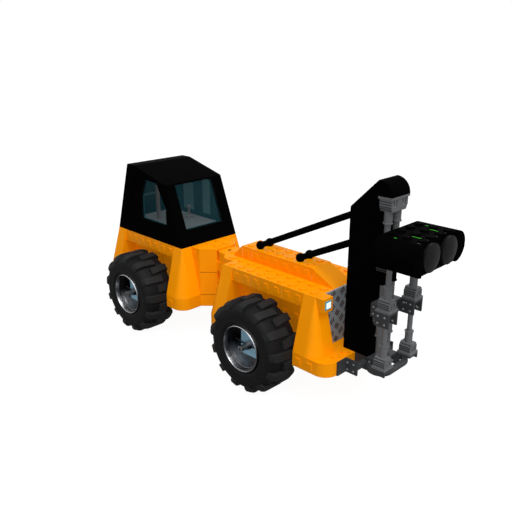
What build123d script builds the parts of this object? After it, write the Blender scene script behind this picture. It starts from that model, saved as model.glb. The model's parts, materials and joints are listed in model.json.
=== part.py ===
from build123d import *
import os
from math import atan2, cos, pi, sin

# A construction-brick toy of a mast carrier: two wheeled modules on an upright
# hinge, a cab on the rear one, and ahead of the front one a block mast with a
# tool head that slides on guide posts. +X is forward, +Y to its left, +Z up.
# While it is drawn, x counts from the front deck's rear edge and z from the
# deck's top. When saved it stands on the floor, over the middle of its length.

# the brick grid: a cell is one stud pitch long, wide and high
CELL = 8.0

# clearances
SEAT = 0.10
SLIDE = 0.08
RUN = 0.06
OVER = 1.0

# marks that the bricks carry
STUD_R = 2.3
STUD_H = 0.8
BOSS = 3.4
BOSS_H = 0.4
ROOT = 0.2
SEAM_W = 0.24
SEAM_D = 0.24

# modules
FRONT_LONG = 9 * CELL
REAR_LONG = 9 * CELL
WAIST = 5 * CELL
BUMPER = 2 * CELL
CORE_HALF = 2 * CELL
DECK_HALF = 3 * CELL
SLAB_HALF = 4 * CELL
CORE_HIGH = 4 * CELL
SLAB_T = CELL
FENDER_T = CELL
COLUMN_T = DECK_HALF - CORE_HALF
FLARE = SLAB_HALF - DECK_HALF
SLAB_TOP = -CORE_HIGH
SLAB_LOW = SLAB_TOP - SLAB_T
AXLE_Z = SLAB_TOP - SLAB_T / 2
FRONT_END = FRONT_LONG + BUMPER
REAR_FRONT = -WAIST
REAR_BACK = REAR_FRONT - REAR_LONG
TOY_REAR = REAR_BACK - FLARE

# wheels
TYRE_R = 27.4
TYRE_W = 22.9
BEAD_R = 13.9
LUG_H = 1.9
LUG_W = 4.2
LUGS = 13
TYRE_OUT = 45.2
DECK_HIGH = TYRE_R - AXLE_Z

# mast and tool head
MAST_AHEAD = CELL
MAST_LONG = 2 * CELL
MAST_HALF = CELL
MAST_HIGH = 6 * CELL
MAST_REAR = FRONT_LONG + MAST_AHEAD
MAST_FRONT = MAST_REAR + MAST_LONG
BRACKET_LONG = CELL
HEAD_REAR = MAST_FRONT + BRACKET_LONG
HEAD_LONG = 22.4
CHEEK_STEP = 1.2
DRUM_STEP = 1.6
DOME_H = 0.8
HEAD_FACE = HEAD_REAR + HEAD_LONG
CHEEK_FACE = HEAD_FACE + CHEEK_STEP
DRUM_FACE = HEAD_FACE + DRUM_STEP
TOY_FRONT = DRUM_FACE + DOME_H
MID_X = (TOY_REAR + TOY_FRONT) / 2


def save(shape, node):
    placed = shape.moved(Location((-MID_X, 0, DECK_HIGH)))
    export_step(placed, "parts/" + node + ".step")


def block(x0, x1, y0, y1, z0, z1):
    """A box between its low and high sides."""
    mid = Pos((x0 + x1) / 2, (y0 + y1) / 2, (z0 + z1) / 2)
    return mid * Box(x1 - x0, y1 - y0, z1 - z0)


def slab_of(x0, x1, half, z0, z1):
    """A box that reaches as far to the left as to the right."""
    return block(x0, x1, -half, half, z0, z1)


def side_prism(points, half):
    """A side outline of (x, z) points, spread to both sides of the middle."""
    face = Plane.XZ * make_face(Polyline(*points, close=True))
    return extrude(face, half, both=True)


def plan_prism(points, z0, z1):
    """A plan outline of (x, y) points, raised from z0 to z1."""
    face = make_face(Polyline(*points, close=True))
    return Pos(0, 0, z0) * extrude(face, z1 - z0)


def bar(start, end, radius):
    """A round bar between two points."""
    run = Vector(*end) - Vector(*start)
    return extrude(Plane(origin=start, z_dir=run) * Circle(radius), run.length)


def post(x, y, z0, z1, radius):
    return bar((x, y, z0), (x, y, z1), radius)


def cells(start, count, pitch=CELL):
    """The middles of a run of cells."""
    return [start + pitch / 2 + k * pitch for k in range(count)]


def both_ways(spots):
    """The same spots on the left and on the right."""
    return [(x, sign * y) for x, y in spots for sign in (1, -1)]


def studs(spots, z):
    """Low round studs on a top face."""
    return [post(x, y, z - ROOT, z + STUD_H, STUD_R) for x, y in spots]


def bosses(spots, half, sides=(1, -1)):
    """Square bosses on the side faces that stand at half to the left and right."""
    pad = Box(BOSS, BOSS_H + ROOT, BOSS)
    reach = half + (BOSS_H - ROOT) / 2
    return [Pos(x, side * reach, z) * pad for x, z in spots for side in sides]


def seams(stations, half, z0, z1, sides=(1, -1)):
    """Upright grooves where two bricks meet in a side face."""
    tool = Box(SEAM_W, SEAM_D + OVER, z1 - z0)
    reach = half + (OVER - SEAM_D) / 2
    return [Pos(x, side * reach, (z0 + z1) / 2) * tool for x in stations for side in sides]


os.makedirs("parts", exist_ok=True)

# hinge between the modules: three knuckles on one pin
PIVOT_X = -WAIST / 2
KNUCKLE_R = 7.6
KNUCKLE_T = 6.4
KNUCKLE_GAP = 0.5
POCKET_AIR = 0.9
HINGE_TOP = -1.6
PIN_R = 1.4
NOSE_SIDE = CELL
NOSE_TIP = 2 * CELL
NOSE_HALF = CELL


def knuckle_rows(place):
    """Low and high side of a knuckle, counted from the top."""
    high = HINGE_TOP - place * (KNUCKLE_T + KNUCKLE_GAP)
    return high - KNUCKLE_T, high


def tongue(root, place):
    """A round-ended tongue from a module's tip to the hinge."""
    low, high = knuckle_rows(place)
    near, far = sorted((root, PIVOT_X))
    return slab_of(near, far, KNUCKLE_R, low, high) + post(PIVOT_X, 0, low, high, KNUCKLE_R)


def pocket(place):
    """Room for the other module's knuckle to turn in."""
    low, high = knuckle_rows(place)
    return post(PIVOT_X, 0, low - KNUCKLE_GAP, high + KNUCKLE_GAP, KNUCKLE_R + POCKET_AIR)


def nose_plan(root, way):
    """Straight sides, then slanted ones to a narrow tip towards the hinge."""
    side = root + way * NOSE_SIDE
    tip = root + way * NOSE_TIP
    return [(root, -CORE_HALF), (side, -CORE_HALF), (tip, -NOSE_HALF),
            (tip, NOSE_HALF), (side, CORE_HALF), (root, CORE_HALF)]


PIN_LOW = knuckle_rows(2)[0]


# corner columns: one cell at the deck, flared to two at the slab
def corner_column():
    """A square post with a wedge on each outer side and a quarter cone between."""
    post_part = block(0, COLUMN_T, 0, COLUMN_T, SLAB_TOP, 0)
    wedge = [(COLUMN_T, SLAB_TOP), (COLUMN_T + FLARE, SLAB_TOP), (COLUMN_T, 0)]
    face = Plane.XZ * make_face(Polyline(*wedge, close=True))
    ahead = extrude(face, -COLUMN_T)
    beside = mirror(ahead, about=Plane(origin=(0, 0, 0), z_dir=(1, -1, 0)))
    cone = Cone(FLARE, 0, CORE_HIGH, arc_size=90, align=(Align.MIN, Align.MIN, Align.MIN))
    return post_part + ahead + beside + Pos(COLUMN_T, COLUMN_T, SLAB_TOP) * cone


CORNER = corner_column()


def columns(rear, front):
    """Four columns round a deck, the flares outwards."""
    out = []
    for x, piece in ((front - COLUMN_T, CORNER), (rear + COLUMN_T, mirror(CORNER, about=Plane.YZ))):
        near = Pos(x, CORE_HALF, 0) * piece
        out += [near, mirror(near, about=Plane.XZ)]
    return out


def slab_end(inner, outer):
    """The wide end of a base slab, its outer corners rounded as the columns' feet are."""
    body = slab_of(min(inner, outer), max(inner, outer), SLAB_HALF, SLAB_LOW, SLAB_TOP)
    upright = body.edges().filter_by(Axis.Z)
    return fillet([e for e in upright if abs(e.center().X - outer) < FLARE / 2], FLARE)


# front module
ARCH_REAR = COLUMN_T
ARCH_FRONT = FRONT_LONG - COLUMN_T
ARCH_CELLS = 7
AXLE_FRONT = FRONT_LONG / 2
AXLE_R = 1.8
SPINE_HIGH = CELL
SPINE_TAIL = CELL
SPINE_FLAT = 7 * CELL
FRAME_SEAMS = (3 * CELL, 6 * CELL)
WALL_ROWS = (-1.5 * CELL, -2.5 * CELL)

low, high = knuckle_rows(1)
core = slab_of(0, FRONT_LONG, CORE_HALF, SLAB_TOP, 0)
core += plan_prism(nose_plan(0, -1), SLAB_TOP, 0)
core -= pocket(1)
core += [tongue(-NOSE_TIP, 0), tongue(-NOSE_TIP, 2)]
core -= post(PIVOT_X, 0, PIN_LOW - OVER, OVER, PIN_R)
spots = both_ways([(x, CORE_HALF - CELL / 2) for x in cells(-NOSE_SIDE, 10)])
spots += both_ways([(x, NOSE_HALF / 2) for x in cells(-NOSE_TIP, 1)])
core += studs(spots, 0)
core += bosses([(x, z) for x in cells(ARCH_REAR, ARCH_CELLS) for z in WALL_ROWS], CORE_HALF)
save(core, "front_core")


def fender(rear, front, side, studded):
    """A beam over a wheel, between two columns."""
    y0, y1 = sorted((side * CORE_HALF, side * DECK_HALF))
    beam = block(rear, front, y0, y1, -FENDER_T, 0)
    middles = cells(rear, ARCH_CELLS)
    beam += bosses([(x, -FENDER_T / 2) for x in middles], DECK_HALF, (side,))
    if studded:
        beam += studs([(x, side * (DECK_HALF - CELL / 2)) for x in middles], 0)
    joints = [rear - COLUMN_T + x for x in FRAME_SEAMS]
    beam -= seams(joints, DECK_HALF, -FENDER_T - OVER, OVER, (side,))
    return beam


save(fender(ARCH_REAR, ARCH_FRONT, 1, True), "front_fender_left")
save(fender(ARCH_REAR, ARCH_FRONT, -1, True), "front_fender_right")

front_posts = []
for piece in columns(0, FRONT_LONG):
    way = 1 if piece.center().X > FRONT_LONG / 2 else -1
    side = 1 if piece.center().Y > 0 else -1
    x = (FRONT_LONG - COLUMN_T / 2) if way > 0 else COLUMN_T / 2
    stud = studs([(x, side * (DECK_HALF - COLUMN_T / 2))], 0)[0]
    front_posts.append((piece + stud).solid())
save(Compound(children=front_posts), "front_columns")

slab = slab_of(ARCH_REAR, ARCH_FRONT, CORE_HALF, SLAB_LOW, SLAB_TOP)
slab += slab_end(ARCH_FRONT, FRONT_END)
slab += slab_end(ARCH_REAR, -FLARE)
slab += bosses([(x, AXLE_Z) for x in cells(ARCH_FRONT, 2) + cells(0, 1)], SLAB_HALF)
bumper_studs = [(x, y) for x in cells(MAST_REAR, 1) for y in cells(MAST_HALF, 2)]
slab += studs(both_ways(bumper_studs), SLAB_TOP)
slab -= bar((AXLE_FRONT, -DECK_HALF, AXLE_Z), (AXLE_FRONT, DECK_HALF, AXLE_Z), AXLE_R + SEAT)
save(slab, "front_slab")

save(post(PIVOT_X, 0, PIN_LOW, HINGE_TOP, PIN_R), "hinge_pin")

# spine: a raised beam with sloped ends, struts' feet on two of its cells
UPPER_FOOT = 1.5 * CELL
LOWER_FOOT = 5.5 * CELL
spine = side_prism([(-SPINE_TAIL, 0), (0, SPINE_HIGH), (SPINE_FLAT, SPINE_HIGH),
                    (FRONT_LONG, 0)], MAST_HALF)
middles = cells(0, 7)
free = [x for x in middles if x not in (UPPER_FOOT, LOWER_FOOT)]
spine += studs(both_ways([(x, MAST_HALF / 2) for x in free]), SPINE_HIGH)
spine += bosses([(x, SPINE_HIGH / 2) for x in middles], MAST_HALF)
spine -= seams([0, CELL, SPINE_FLAT], MAST_HALF, -OVER, SPINE_HIGH + OVER)
save(spine, "spine")

# grille: a plate with woven bars on the front of the core
GRILLE_T = 1.0
WEAVE_H = 0.5
WEAVE_W = 1.2
WEAVE_ROWS = 4
WEAVE_COLS = 4
GRILLE_RIM = 0.6
grille = slab_of(FRONT_LONG, FRONT_LONG + GRILLE_T, CORE_HALF, SLAB_TOP, 0)
tile_y = (2 * CORE_HALF - 2 * GRILLE_RIM) / WEAVE_COLS
tile_z = (CORE_HIGH - 2 * GRILLE_RIM) / WEAVE_ROWS
slats = []
for row, z in enumerate(cells(SLAB_TOP + GRILLE_RIM, WEAVE_ROWS, tile_z)):
    for col, y in enumerate(cells(GRILLE_RIM - CORE_HALF, WEAVE_COLS, tile_y)):
        upright = (row + col) % 2 == 0
        for shift in (-1, 0, 1):
            wide, tall = (WEAVE_W, tile_z - GRILLE_RIM) if upright else (tile_y - GRILLE_RIM, WEAVE_W)
            step = shift * (tile_y if upright else tile_z) / 3
            at = (y + step, z) if upright else (y, z + step)
            slat = Box(WEAVE_H + ROOT, wide, tall)
            reach = FRONT_LONG + GRILLE_T + (WEAVE_H - ROOT) / 2
            slats.append(Pos(reach, at[0], at[1]) * slat)
grille += slats
save(grille, "grille")

# headlamp blocks, cut to the columns behind them, with a framed lens each
LAMP_LONG = 5.6
LENS_T = 0.6
LENS_HALF = 2.7
lamps = []
lenses = []
for side in (1, -1):
    y0, y1 = sorted((side * CORE_HALF, side * DECK_HALF))
    housing = block(FRONT_LONG, FRONT_LONG + LAMP_LONG, y0, y1, -FENDER_T, 0)
    for piece in front_posts:
        housing -= piece
    lamps.append(housing.solids().sort_by(SortBy.VOLUME)[-1])
    y = (y0 + y1) / 2
    z = -FENDER_T / 2
    face = FRONT_LONG + LAMP_LONG
    lenses.append(block(face, face + LENS_T, y - LENS_HALF, y + LENS_HALF,
                        z - LENS_HALF, z + LENS_HALF))
save(Compound(children=lamps), "lamp_housings")
save(Compound(children=lenses), "lamp_lenses")

# mast: blocks two cells high, then a sloped cap with a quarter-round nose
CAP_HIGH = 2 * CELL
MAST_BLOCK = 2 * CELL
NOSE_LOW = MAST_HIGH + CAP_HIGH - BRACKET_LONG
mast = slab_of(MAST_REAR, MAST_FRONT, MAST_HALF, SLAB_TOP, MAST_HIGH)
mast += bosses([(x, z) for x in cells(MAST_REAR, 2) for z in cells(SLAB_TOP, 10)], MAST_HALF)
groove = slab_of(MAST_REAR - OVER, MAST_FRONT + OVER, MAST_HALF + OVER, -SEAM_W / 2, SEAM_W / 2)
groove -= slab_of(MAST_REAR + SEAM_D, MAST_FRONT - SEAM_D, MAST_HALF - SEAM_D, -SEAM_W, SEAM_W)
mast -= [Pos(0, 0, z - MAST_BLOCK / 2) * groove for z in cells(SLAB_TOP + MAST_BLOCK, 4, MAST_BLOCK)]
save(mast, "mast")

cap = side_prism([(MAST_REAR, MAST_HIGH), (MAST_FRONT, MAST_HIGH),
                  (MAST_FRONT, MAST_HIGH + CAP_HIGH)], MAST_HALF)
quarter = Cylinder(BRACKET_LONG, 2 * MAST_HALF, arc_size=90,
                   align=(Align.MIN, Align.MIN, Align.CENTER))
cap += Pos(MAST_FRONT, 0, NOSE_LOW) * Rot(90, 0, 0) * quarter
cap += bosses([(x, MAST_HIGH + CELL / 2) for x in cells(MAST_FRONT - CELL, 1)], MAST_HALF)
save(cap, "mast_cap")

# struts: ball-footed bars from the spine to the back of the mast
STRUT_R = 1.8
BALL_R = 2.7
BALL_LIFT = 2.2
UPPER_JOIN = 5.44 * CELL
LOWER_JOIN = 3.48 * CELL
MAST_SOLID = slab_of(MAST_REAR - SEAT, MAST_FRONT, MAST_HALF, SLAB_TOP, MAST_HIGH)
SPINE_SOLID = slab_of(0, SPINE_FLAT, MAST_HALF, 0, SPINE_HIGH)
for node, foot_x, join in (("struts_upper", UPPER_FOOT, UPPER_JOIN),
                           ("struts_lower", LOWER_FOOT, LOWER_JOIN)):
    pair = []
    for y in (-MAST_HALF / 2, MAST_HALF / 2):
        foot = (foot_x, y, SPINE_HIGH + BALL_LIFT)
        rise = (join - foot[2]) / (MAST_REAR - foot_x)
        end = (MAST_REAR + STRUT_R, y, join + rise * STRUT_R)
        strut = bar(foot, end, STRUT_R) + Pos(*foot) * Sphere(BALL_R)
        strut -= [MAST_SOLID, SPINE_SOLID]
        pair.append(strut.solids().sort_by(SortBy.VOLUME)[-1])
    save(Compound(children=pair), node)

# sockets: flanged, ribbed vaults that hold the guide posts and the legs
RIM_T = 1.2
SOCKET_H = 6.6
DEEP_SOCKET_H = 7.6
SHOULDER_SHARE = 0.6
TAPER = 1.3
RIBS = 4
RIB_GAP = 0.5
RIB_DEPTH = 0.4
FOOT_AIR = 0.6
PANEL_HALF = 1.9
PANEL_LOW = 0.6
PANEL_DEPTH = 0.5
LATCH_HALF = 0.6
LATCH_HIGH = 1.6
SLEEVE_R = 2.1
SLEEVE_LONG = 6.4
RING_R = 2.5
RING_T = 0.5


def socket(long, wide, high):
    """An upright socket on the XY plane: ribs along x, a latch panel a cell on its front."""
    foot_half = wide / 2 - FOOT_AIR
    crest_half = foot_half - TAPER
    shoulder = RIM_T + SHOULDER_SHARE * (high - RIM_T)
    front = long / 2 - FOOT_AIR
    outline = Polyline((-foot_half, 0), (foot_half, 0), (foot_half, shoulder), (crest_half, high),
                       (-crest_half, high), (-foot_half, shoulder), close=True)
    body = extrude(Plane.YZ * make_face(outline), front, both=True)
    step = (high - RIM_T) / (RIBS + 1)
    rib_cut = Box(long, RIB_DEPTH + OVER, RIB_GAP)
    for k in range(1, RIBS + 1):
        z = RIM_T + k * step
        lean = max(0, z - shoulder) / (high - shoulder) * TAPER
        reach = foot_half - lean - RIB_DEPTH + (RIB_DEPTH + OVER) / 2
        body -= [Pos(0, side * reach, z) * rib_cut for side in (1, -1)]
    low = RIM_T + PANEL_LOW
    for y in cells(-wide / 2, round(wide / CELL)):
        body -= block(front - PANEL_DEPTH, front + OVER, y - PANEL_HALF, y + PANEL_HALF, low, shoulder)
        body += block(front - PANEL_DEPTH - ROOT, front, y - LATCH_HALF, y + LATCH_HALF,
                      low, low + LATCH_HIGH)
    return body + Box(long, wide, RIM_T, align=(Align.CENTER, Align.CENTER, Align.MIN))


def hanging(shape):
    return Rot(180, 0, 0) * shape


def sleeve(x, y, root, tip, radius=SLEEVE_R):
    """A round sleeve with a ring at its free end."""
    ring_root = tip + (RING_T if tip < root else -RING_T)
    low, high = sorted((root, tip))
    ring_low, ring_high = sorted((ring_root, tip))
    return post(x, y, low, high, radius) + post(x, y, ring_low, ring_high, RING_R)


# guide posts: fixed to the nose's bracket above and the tool frame below
POST_X = MAST_FRONT + BRACKET_LONG / 2
POST_Y = MAST_HALF / 2
POST_R = 1.6
GUIDE_WIDE = 2 * MAST_HALF
MAST_AIR = 0.4
BRACKET_LOW = NOSE_LOW - DEEP_SOCKET_H
POST_SIDES = (-POST_Y, POST_Y)

bracket = Pos(POST_X, 0, NOSE_LOW) * hanging(socket(BRACKET_LONG, GUIDE_WIDE, DEEP_SOCKET_H))
for y in POST_SIDES:
    bracket -= post(POST_X, y, BRACKET_LOW - OVER, NOSE_LOW - RIM_T, POST_R)
save(bracket, "nose_bracket")

guides = []
for y in POST_SIDES:
    guide = post(POST_X, y, SLAB_TOP + SEAT, NOSE_LOW - RIM_T, POST_R)
    guides.append(guide + sleeve(POST_X, y, BRACKET_LOW, BRACKET_LOW - SLEEVE_LONG))
save(Compound(children=guides), "guide_posts")

# tool frame: foot block, riveted cheeks and a ring of tube ahead of the bumper
LEG_X = HEAD_REAR + CELL / 2
LEG_Y = 1.5 * CELL
LEG_R = 1.4
LEG_SIDES = (-LEG_Y, LEG_Y)
CHEEK_T = 1.0
PLATE_TRIM = 0.8
FOOT_PLATE = 3.0
CHEEK_FRONT = HEAD_REAR + CELL
FOOT_FRONT = HEAD_REAR + CELL / 4
FOOT_LOW = SLAB_LOW + PLATE_TRIM
ANGLE_T = 1.0
ANGLE_IN = CORE_HALF
ANGLE_OUT = DECK_HALF
TUBE_R = 2.1
CROSS_X = FRONT_END + 0.75 * CELL
RING_TUBE_R = 1.85
RING_Z = AXLE_Z
RING_FRONT_X = 13.63 * CELL
RING_TURN = 5.6
RING_END_Y = 6.64
RIVET_R = 0.65
RIVET_H = 0.4
SLOT_R = 0.5

frame = slab_of(FRONT_END, MAST_FRONT, MAST_HALF, SLAB_LOW, SLAB_TOP)
frame += slab_of(MAST_FRONT, HEAD_REAR, MAST_HALF, SLAB_TOP - RIM_T, SLAB_TOP)
for side in (1, -1):
    y0, y1 = sorted((side * (MAST_HALF - CHEEK_T / 2), side * (MAST_HALF + CHEEK_T / 2)))
    frame += block(MAST_FRONT, FOOT_FRONT, y0, y1, FOOT_LOW, SLAB_TOP)
    y0, y1 = sorted((side * MAST_HALF, side * CORE_HALF))
    frame += block(HEAD_REAR, CHEEK_FRONT, y0, y1, SLAB_TOP - RIM_T, SLAB_TOP)
    y0, y1 = sorted((side * (CORE_HALF - CHEEK_T), side * CORE_HALF))
    frame += block(HEAD_REAR, CHEEK_FRONT, y0, y1, SLAB_TOP - FOOT_PLATE, SLAB_TOP)
    y0, y1 = sorted((side * ANGLE_IN, side * ANGLE_OUT))
    frame += block(FRONT_END, FRONT_END + ANGLE_T, y0, y1, SLAB_LOW, SLAB_TOP)
    y0, y1 = sorted((side * ANGLE_IN, side * (ANGLE_IN + ANGLE_T)))
    frame += block(FRONT_END, FRONT_END + CELL, y0, y1, SLAB_LOW, SLAB_TOP)
    frame += bar((CROSS_X, side * MAST_HALF, AXLE_Z), (CROSS_X, side * (ANGLE_IN + ANGLE_T), AXLE_Z),
                 TUBE_R)
RING_BACK_X = RING_FRONT_X - 2 * RING_TURN
RING_MID_X = RING_FRONT_X - RING_TURN
path = [
    Line((RING_FRONT_X, -RING_END_Y, RING_Z), (RING_FRONT_X, RING_END_Y, RING_Z)),
    ThreePointArc((RING_FRONT_X, RING_END_Y, RING_Z),
                  (RING_MID_X, RING_END_Y + RING_TURN, RING_Z), (RING_BACK_X, RING_END_Y, RING_Z)),
    Line((RING_BACK_X, RING_END_Y, RING_Z), (RING_BACK_X, -RING_END_Y, RING_Z)),
    ThreePointArc((RING_BACK_X, -RING_END_Y, RING_Z),
                  (RING_MID_X, -RING_END_Y - RING_TURN, RING_Z), (RING_FRONT_X, -RING_END_Y, RING_Z)),
]
section = Plane(origin=(RING_FRONT_X, -RING_END_Y, RING_Z), z_dir=(0, 1, 0)) * Circle(RING_TUBE_R)
ring = sweep(section, path=Wire(path))
frame += ring


def rivets(x0, x1, z0, z1, y):
    """Four rivets through a plate that stands on the plane at y."""
    spots = [(x, z) for x in cells(x0, 2, (x1 - x0) / 2) for z in cells(z0, 2, (z1 - z0) / 2)]
    reach = CHEEK_T / 2 + RIVET_H
    return [bar((x, y - reach, z), (x, y + reach, z), RIVET_R) for x, z in spots]


def slots(x0, x1, z0, z1, y):
    """Two small holes between the rivets, one low ahead and one high behind."""
    spots = zip(cells(x0, 2, (x1 - x0) / 2), cells(z0, 2, (z1 - z0) / 2)[::-1])
    mid = (x0 + x1) / 2
    return [bar(((x + mid) / 2, y - OVER, z), ((x + mid) / 2, y + OVER, z), SLOT_R) for x, z in spots]


for side in (1, -1):
    frame += rivets(MAST_FRONT, HEAD_REAR, FOOT_LOW, SLAB_TOP, side * MAST_HALF)
    frame += rivets(FRONT_END, FRONT_END + CELL, SLAB_LOW, SLAB_TOP, side * (ANGLE_IN + ANGLE_T / 2))
save(frame, "tool_frame")

base = []
for y in LEG_SIDES:
    cup = Pos(LEG_X, y, SLAB_TOP) * socket(CELL, CELL, SOCKET_H)
    cup += sleeve(LEG_X, y, SLAB_TOP + SOCKET_H - ROOT, SLAB_TOP + SOCKET_H + SLEEVE_LONG)
    cup -= post(LEG_X, y, SLAB_TOP, OVER, LEG_R + SLIDE)
    base.append(cup)
save(Compound(children=base), "base_collars")

# tool head: a mount on the guide posts, the housing, two domed discs
HEAD_LOW = 3 * CELL
HEAD_HIGH = 2 * CELL
HEAD_HALF = 2 * CELL
HEAD_TOP = HEAD_LOW + HEAD_HIGH
HEAD_MID = HEAD_LOW + HEAD_HIGH / 2
MOUNT_HIGH = 1.5 * CELL
MOUNT_REAR = MAST_FRONT + MAST_AIR
MOVING_LONG = BRACKET_LONG - 2 * MAST_AIR

mount = slab_of(MOUNT_REAR, HEAD_REAR, MAST_HALF, HEAD_LOW, HEAD_LOW + MOUNT_HIGH)
mount += Pos(POST_X, 0, HEAD_LOW) * hanging(socket(MOVING_LONG, GUIDE_WIDE, DEEP_SOCKET_H))
SOCKET_LOW = HEAD_LOW - DEEP_SOCKET_H
for y in POST_SIDES:
    mount += sleeve(POST_X, y, SOCKET_LOW + ROOT, SOCKET_LOW - SLEEVE_LONG)
for y in POST_SIDES:
    mount -= post(POST_X, y, 0, HEAD_LOW + MOUNT_HIGH + OVER, POST_R + SLIDE)
save(mount, "head_mount")

SEAM_X = HEAD_REAR + CELL
MARK_Y = 19.4
MARK_RISE = 3.8
MARK_HALF = 1.2
housing = slab_of(HEAD_REAR, HEAD_FACE, HEAD_HALF, HEAD_LOW, HEAD_TOP)
cheeks = bar((HEAD_REAR, -HEAD_HALF, HEAD_MID), (CHEEK_FACE, -HEAD_HALF, HEAD_MID), HEAD_HIGH / 2)
cheeks += bar((HEAD_REAR, HEAD_HALF, HEAD_MID), (CHEEK_FACE, HEAD_HALF, HEAD_MID), HEAD_HIGH / 2)
cheeks -= slab_of(HEAD_FACE, CHEEK_FACE + OVER, HEAD_HALF, HEAD_LOW - OVER, HEAD_TOP + OVER)
housing += cheeks
spots = both_ways([(x, y) for x in cells(HEAD_REAR, 3) for y in cells(0, 2)])
spots = [(x, y) for x, y in spots if x + STUD_R < HEAD_FACE]
housing += studs(spots, HEAD_TOP)
for side in (1, -1):
    outer = bar((SEAM_X, side * HEAD_HALF, HEAD_MID), (SEAM_X + SEAM_W, side * HEAD_HALF, HEAD_MID),
                HEAD_HIGH / 2 + OVER)
    inner = bar((SEAM_X - OVER, side * HEAD_HALF, HEAD_MID),
                (SEAM_X + OVER, side * HEAD_HALF, HEAD_MID), HEAD_HIGH / 2 - SEAM_D)
    reach = sorted((side * HEAD_HALF, side * (HEAD_HALF + HEAD_HIGH)))
    outer &= block(SEAM_X, SEAM_X + SEAM_W, *reach, HEAD_LOW - OVER, HEAD_TOP + OVER)
    housing -= outer - inner
    reach = sorted((side * HEAD_HALF, side * (HEAD_HALF + HEAD_HIGH)))
    housing -= block(CHEEK_FACE - SEAM_D, CHEEK_FACE + OVER, *reach,
                     HEAD_MID - SEAM_W / 2, HEAD_MID + SEAM_W / 2)
    for z in (HEAD_MID - MARK_RISE, HEAD_MID + MARK_RISE):
        mark = Box(BOSS_H + ROOT, 2 * MARK_HALF, 2 * MARK_HALF)
        housing += Pos(CHEEK_FACE + (BOSS_H - ROOT) / 2, side * MARK_Y, z) * mark
save(housing, "head_housing")

DRUM_R = 7.2
DRUM_Y = 8.24
BALL = (DRUM_R ** 2 + DOME_H ** 2) / (2 * DOME_H)
SWEEP = atan2(DRUM_R, BALL - DOME_H) / 2
dome_edges = [
    Line((-DRUM_STEP, 0), (DOME_H, 0)),
    ThreePointArc((DOME_H, 0), (BALL * cos(SWEEP) - BALL + DOME_H, BALL * sin(SWEEP)),
                  (0, DRUM_R)),
    Line((0, DRUM_R), (-DRUM_STEP, DRUM_R)),
    Line((-DRUM_STEP, DRUM_R), (-DRUM_STEP, 0)),
]
dome = revolve(make_face(dome_edges), Axis.X)
domes = [Pos(DRUM_FACE, side * DRUM_Y, HEAD_MID) * dome for side in (1, -1)]
save(Compound(children=domes), "head_domes")

# legs under the head, with the bracket and sockets that ride on them
LEG_LOW = -3.4 * CELL
HANGER_H = 7.7
legs = [post(LEG_X, y, LEG_LOW, HEAD_LOW, LEG_R) for y in LEG_SIDES]
save(Compound(children=legs), "head_legs")

hangers = slab_of(POST_X - MOVING_LONG / 2, HEAD_REAR, MAST_HALF, -RIM_T, 0)
for side in (1, -1):
    inner, outer = MAST_HALF - CHEEK_T / 2, MAST_HALF + CHEEK_T / 2
    y0, y1 = sorted((side * inner, side * outer))
    hangers += block(POST_X - MOVING_LONG / 2, CHEEK_FRONT, y0, y1, -HANGER_H, 0)
    y0, y1 = sorted((side * (CORE_HALF - CHEEK_T), side * CORE_HALF))
    hangers += block(HEAD_REAR, CHEEK_FRONT, y0, y1, -HANGER_H, 0)
    y0, y1 = sorted((side * inner, side * CORE_HALF))
    hangers += block(HEAD_REAR, CHEEK_FRONT, y0, y1, -RIM_T, 0)
    for x0, x1, y in ((MAST_FRONT + MAST_AIR, HEAD_REAR, side * MAST_HALF),
                      (HEAD_REAR, CHEEK_FRONT, side * MAST_HALF),
                      (HEAD_REAR, CHEEK_FRONT, side * (CORE_HALF - CHEEK_T / 2))):
        hangers += rivets(x0, x1, -HANGER_H, 0, y)
        hangers -= slots(x0, x1, -HANGER_H, 0, y)
hangers -= seams([HEAD_REAR], MAST_HALF + CHEEK_T / 2, -HANGER_H - OVER, OVER)
for y in LEG_SIDES:
    hangers -= post(LEG_X, y, -HANGER_H, OVER, LEG_R)
for y in POST_SIDES:
    hangers -= post(POST_X, y, -HANGER_H, OVER, POST_R + SLIDE)
save(hangers, "mid_hangers")

collars = []
for y in LEG_SIDES:
    cup = Pos(LEG_X, y, 0) * socket(CELL, CELL, SOCKET_H)
    cup += sleeve(LEG_X, y, SOCKET_H - ROOT, SOCKET_H + SLEEVE_LONG)
    collars.append(cup - post(LEG_X, y, -OVER, HEAD_LOW, LEG_R))
LOWER_TOP = RIM_T - HANGER_H
lower = Pos(POST_X, 0, LOWER_TOP) * hanging(socket(MOVING_LONG, GUIDE_WIDE - CHEEK_T, SOCKET_H))
for y in POST_SIDES:
    root = LOWER_TOP - SOCKET_H
    lower += sleeve(POST_X, y, root + ROOT, root - SLEEVE_LONG)
    lower -= post(POST_X, y, SLAB_TOP, OVER, POST_R + SLIDE)
save(Compound(children=[*collars, lower]), "mid_collars")

# rear module
R_ARCH_REAR = REAR_BACK + COLUMN_T
R_ARCH_FRONT = REAR_FRONT - COLUMN_T
AXLE_REAR = (REAR_BACK + REAR_FRONT) / 2
core = slab_of(REAR_BACK, REAR_FRONT, CORE_HALF, SLAB_TOP, 0)
core += bosses([(x, z) for x in cells(R_ARCH_REAR, ARCH_CELLS) for z in WALL_ROWS], CORE_HALF)
save(core, "rear_core")

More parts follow.
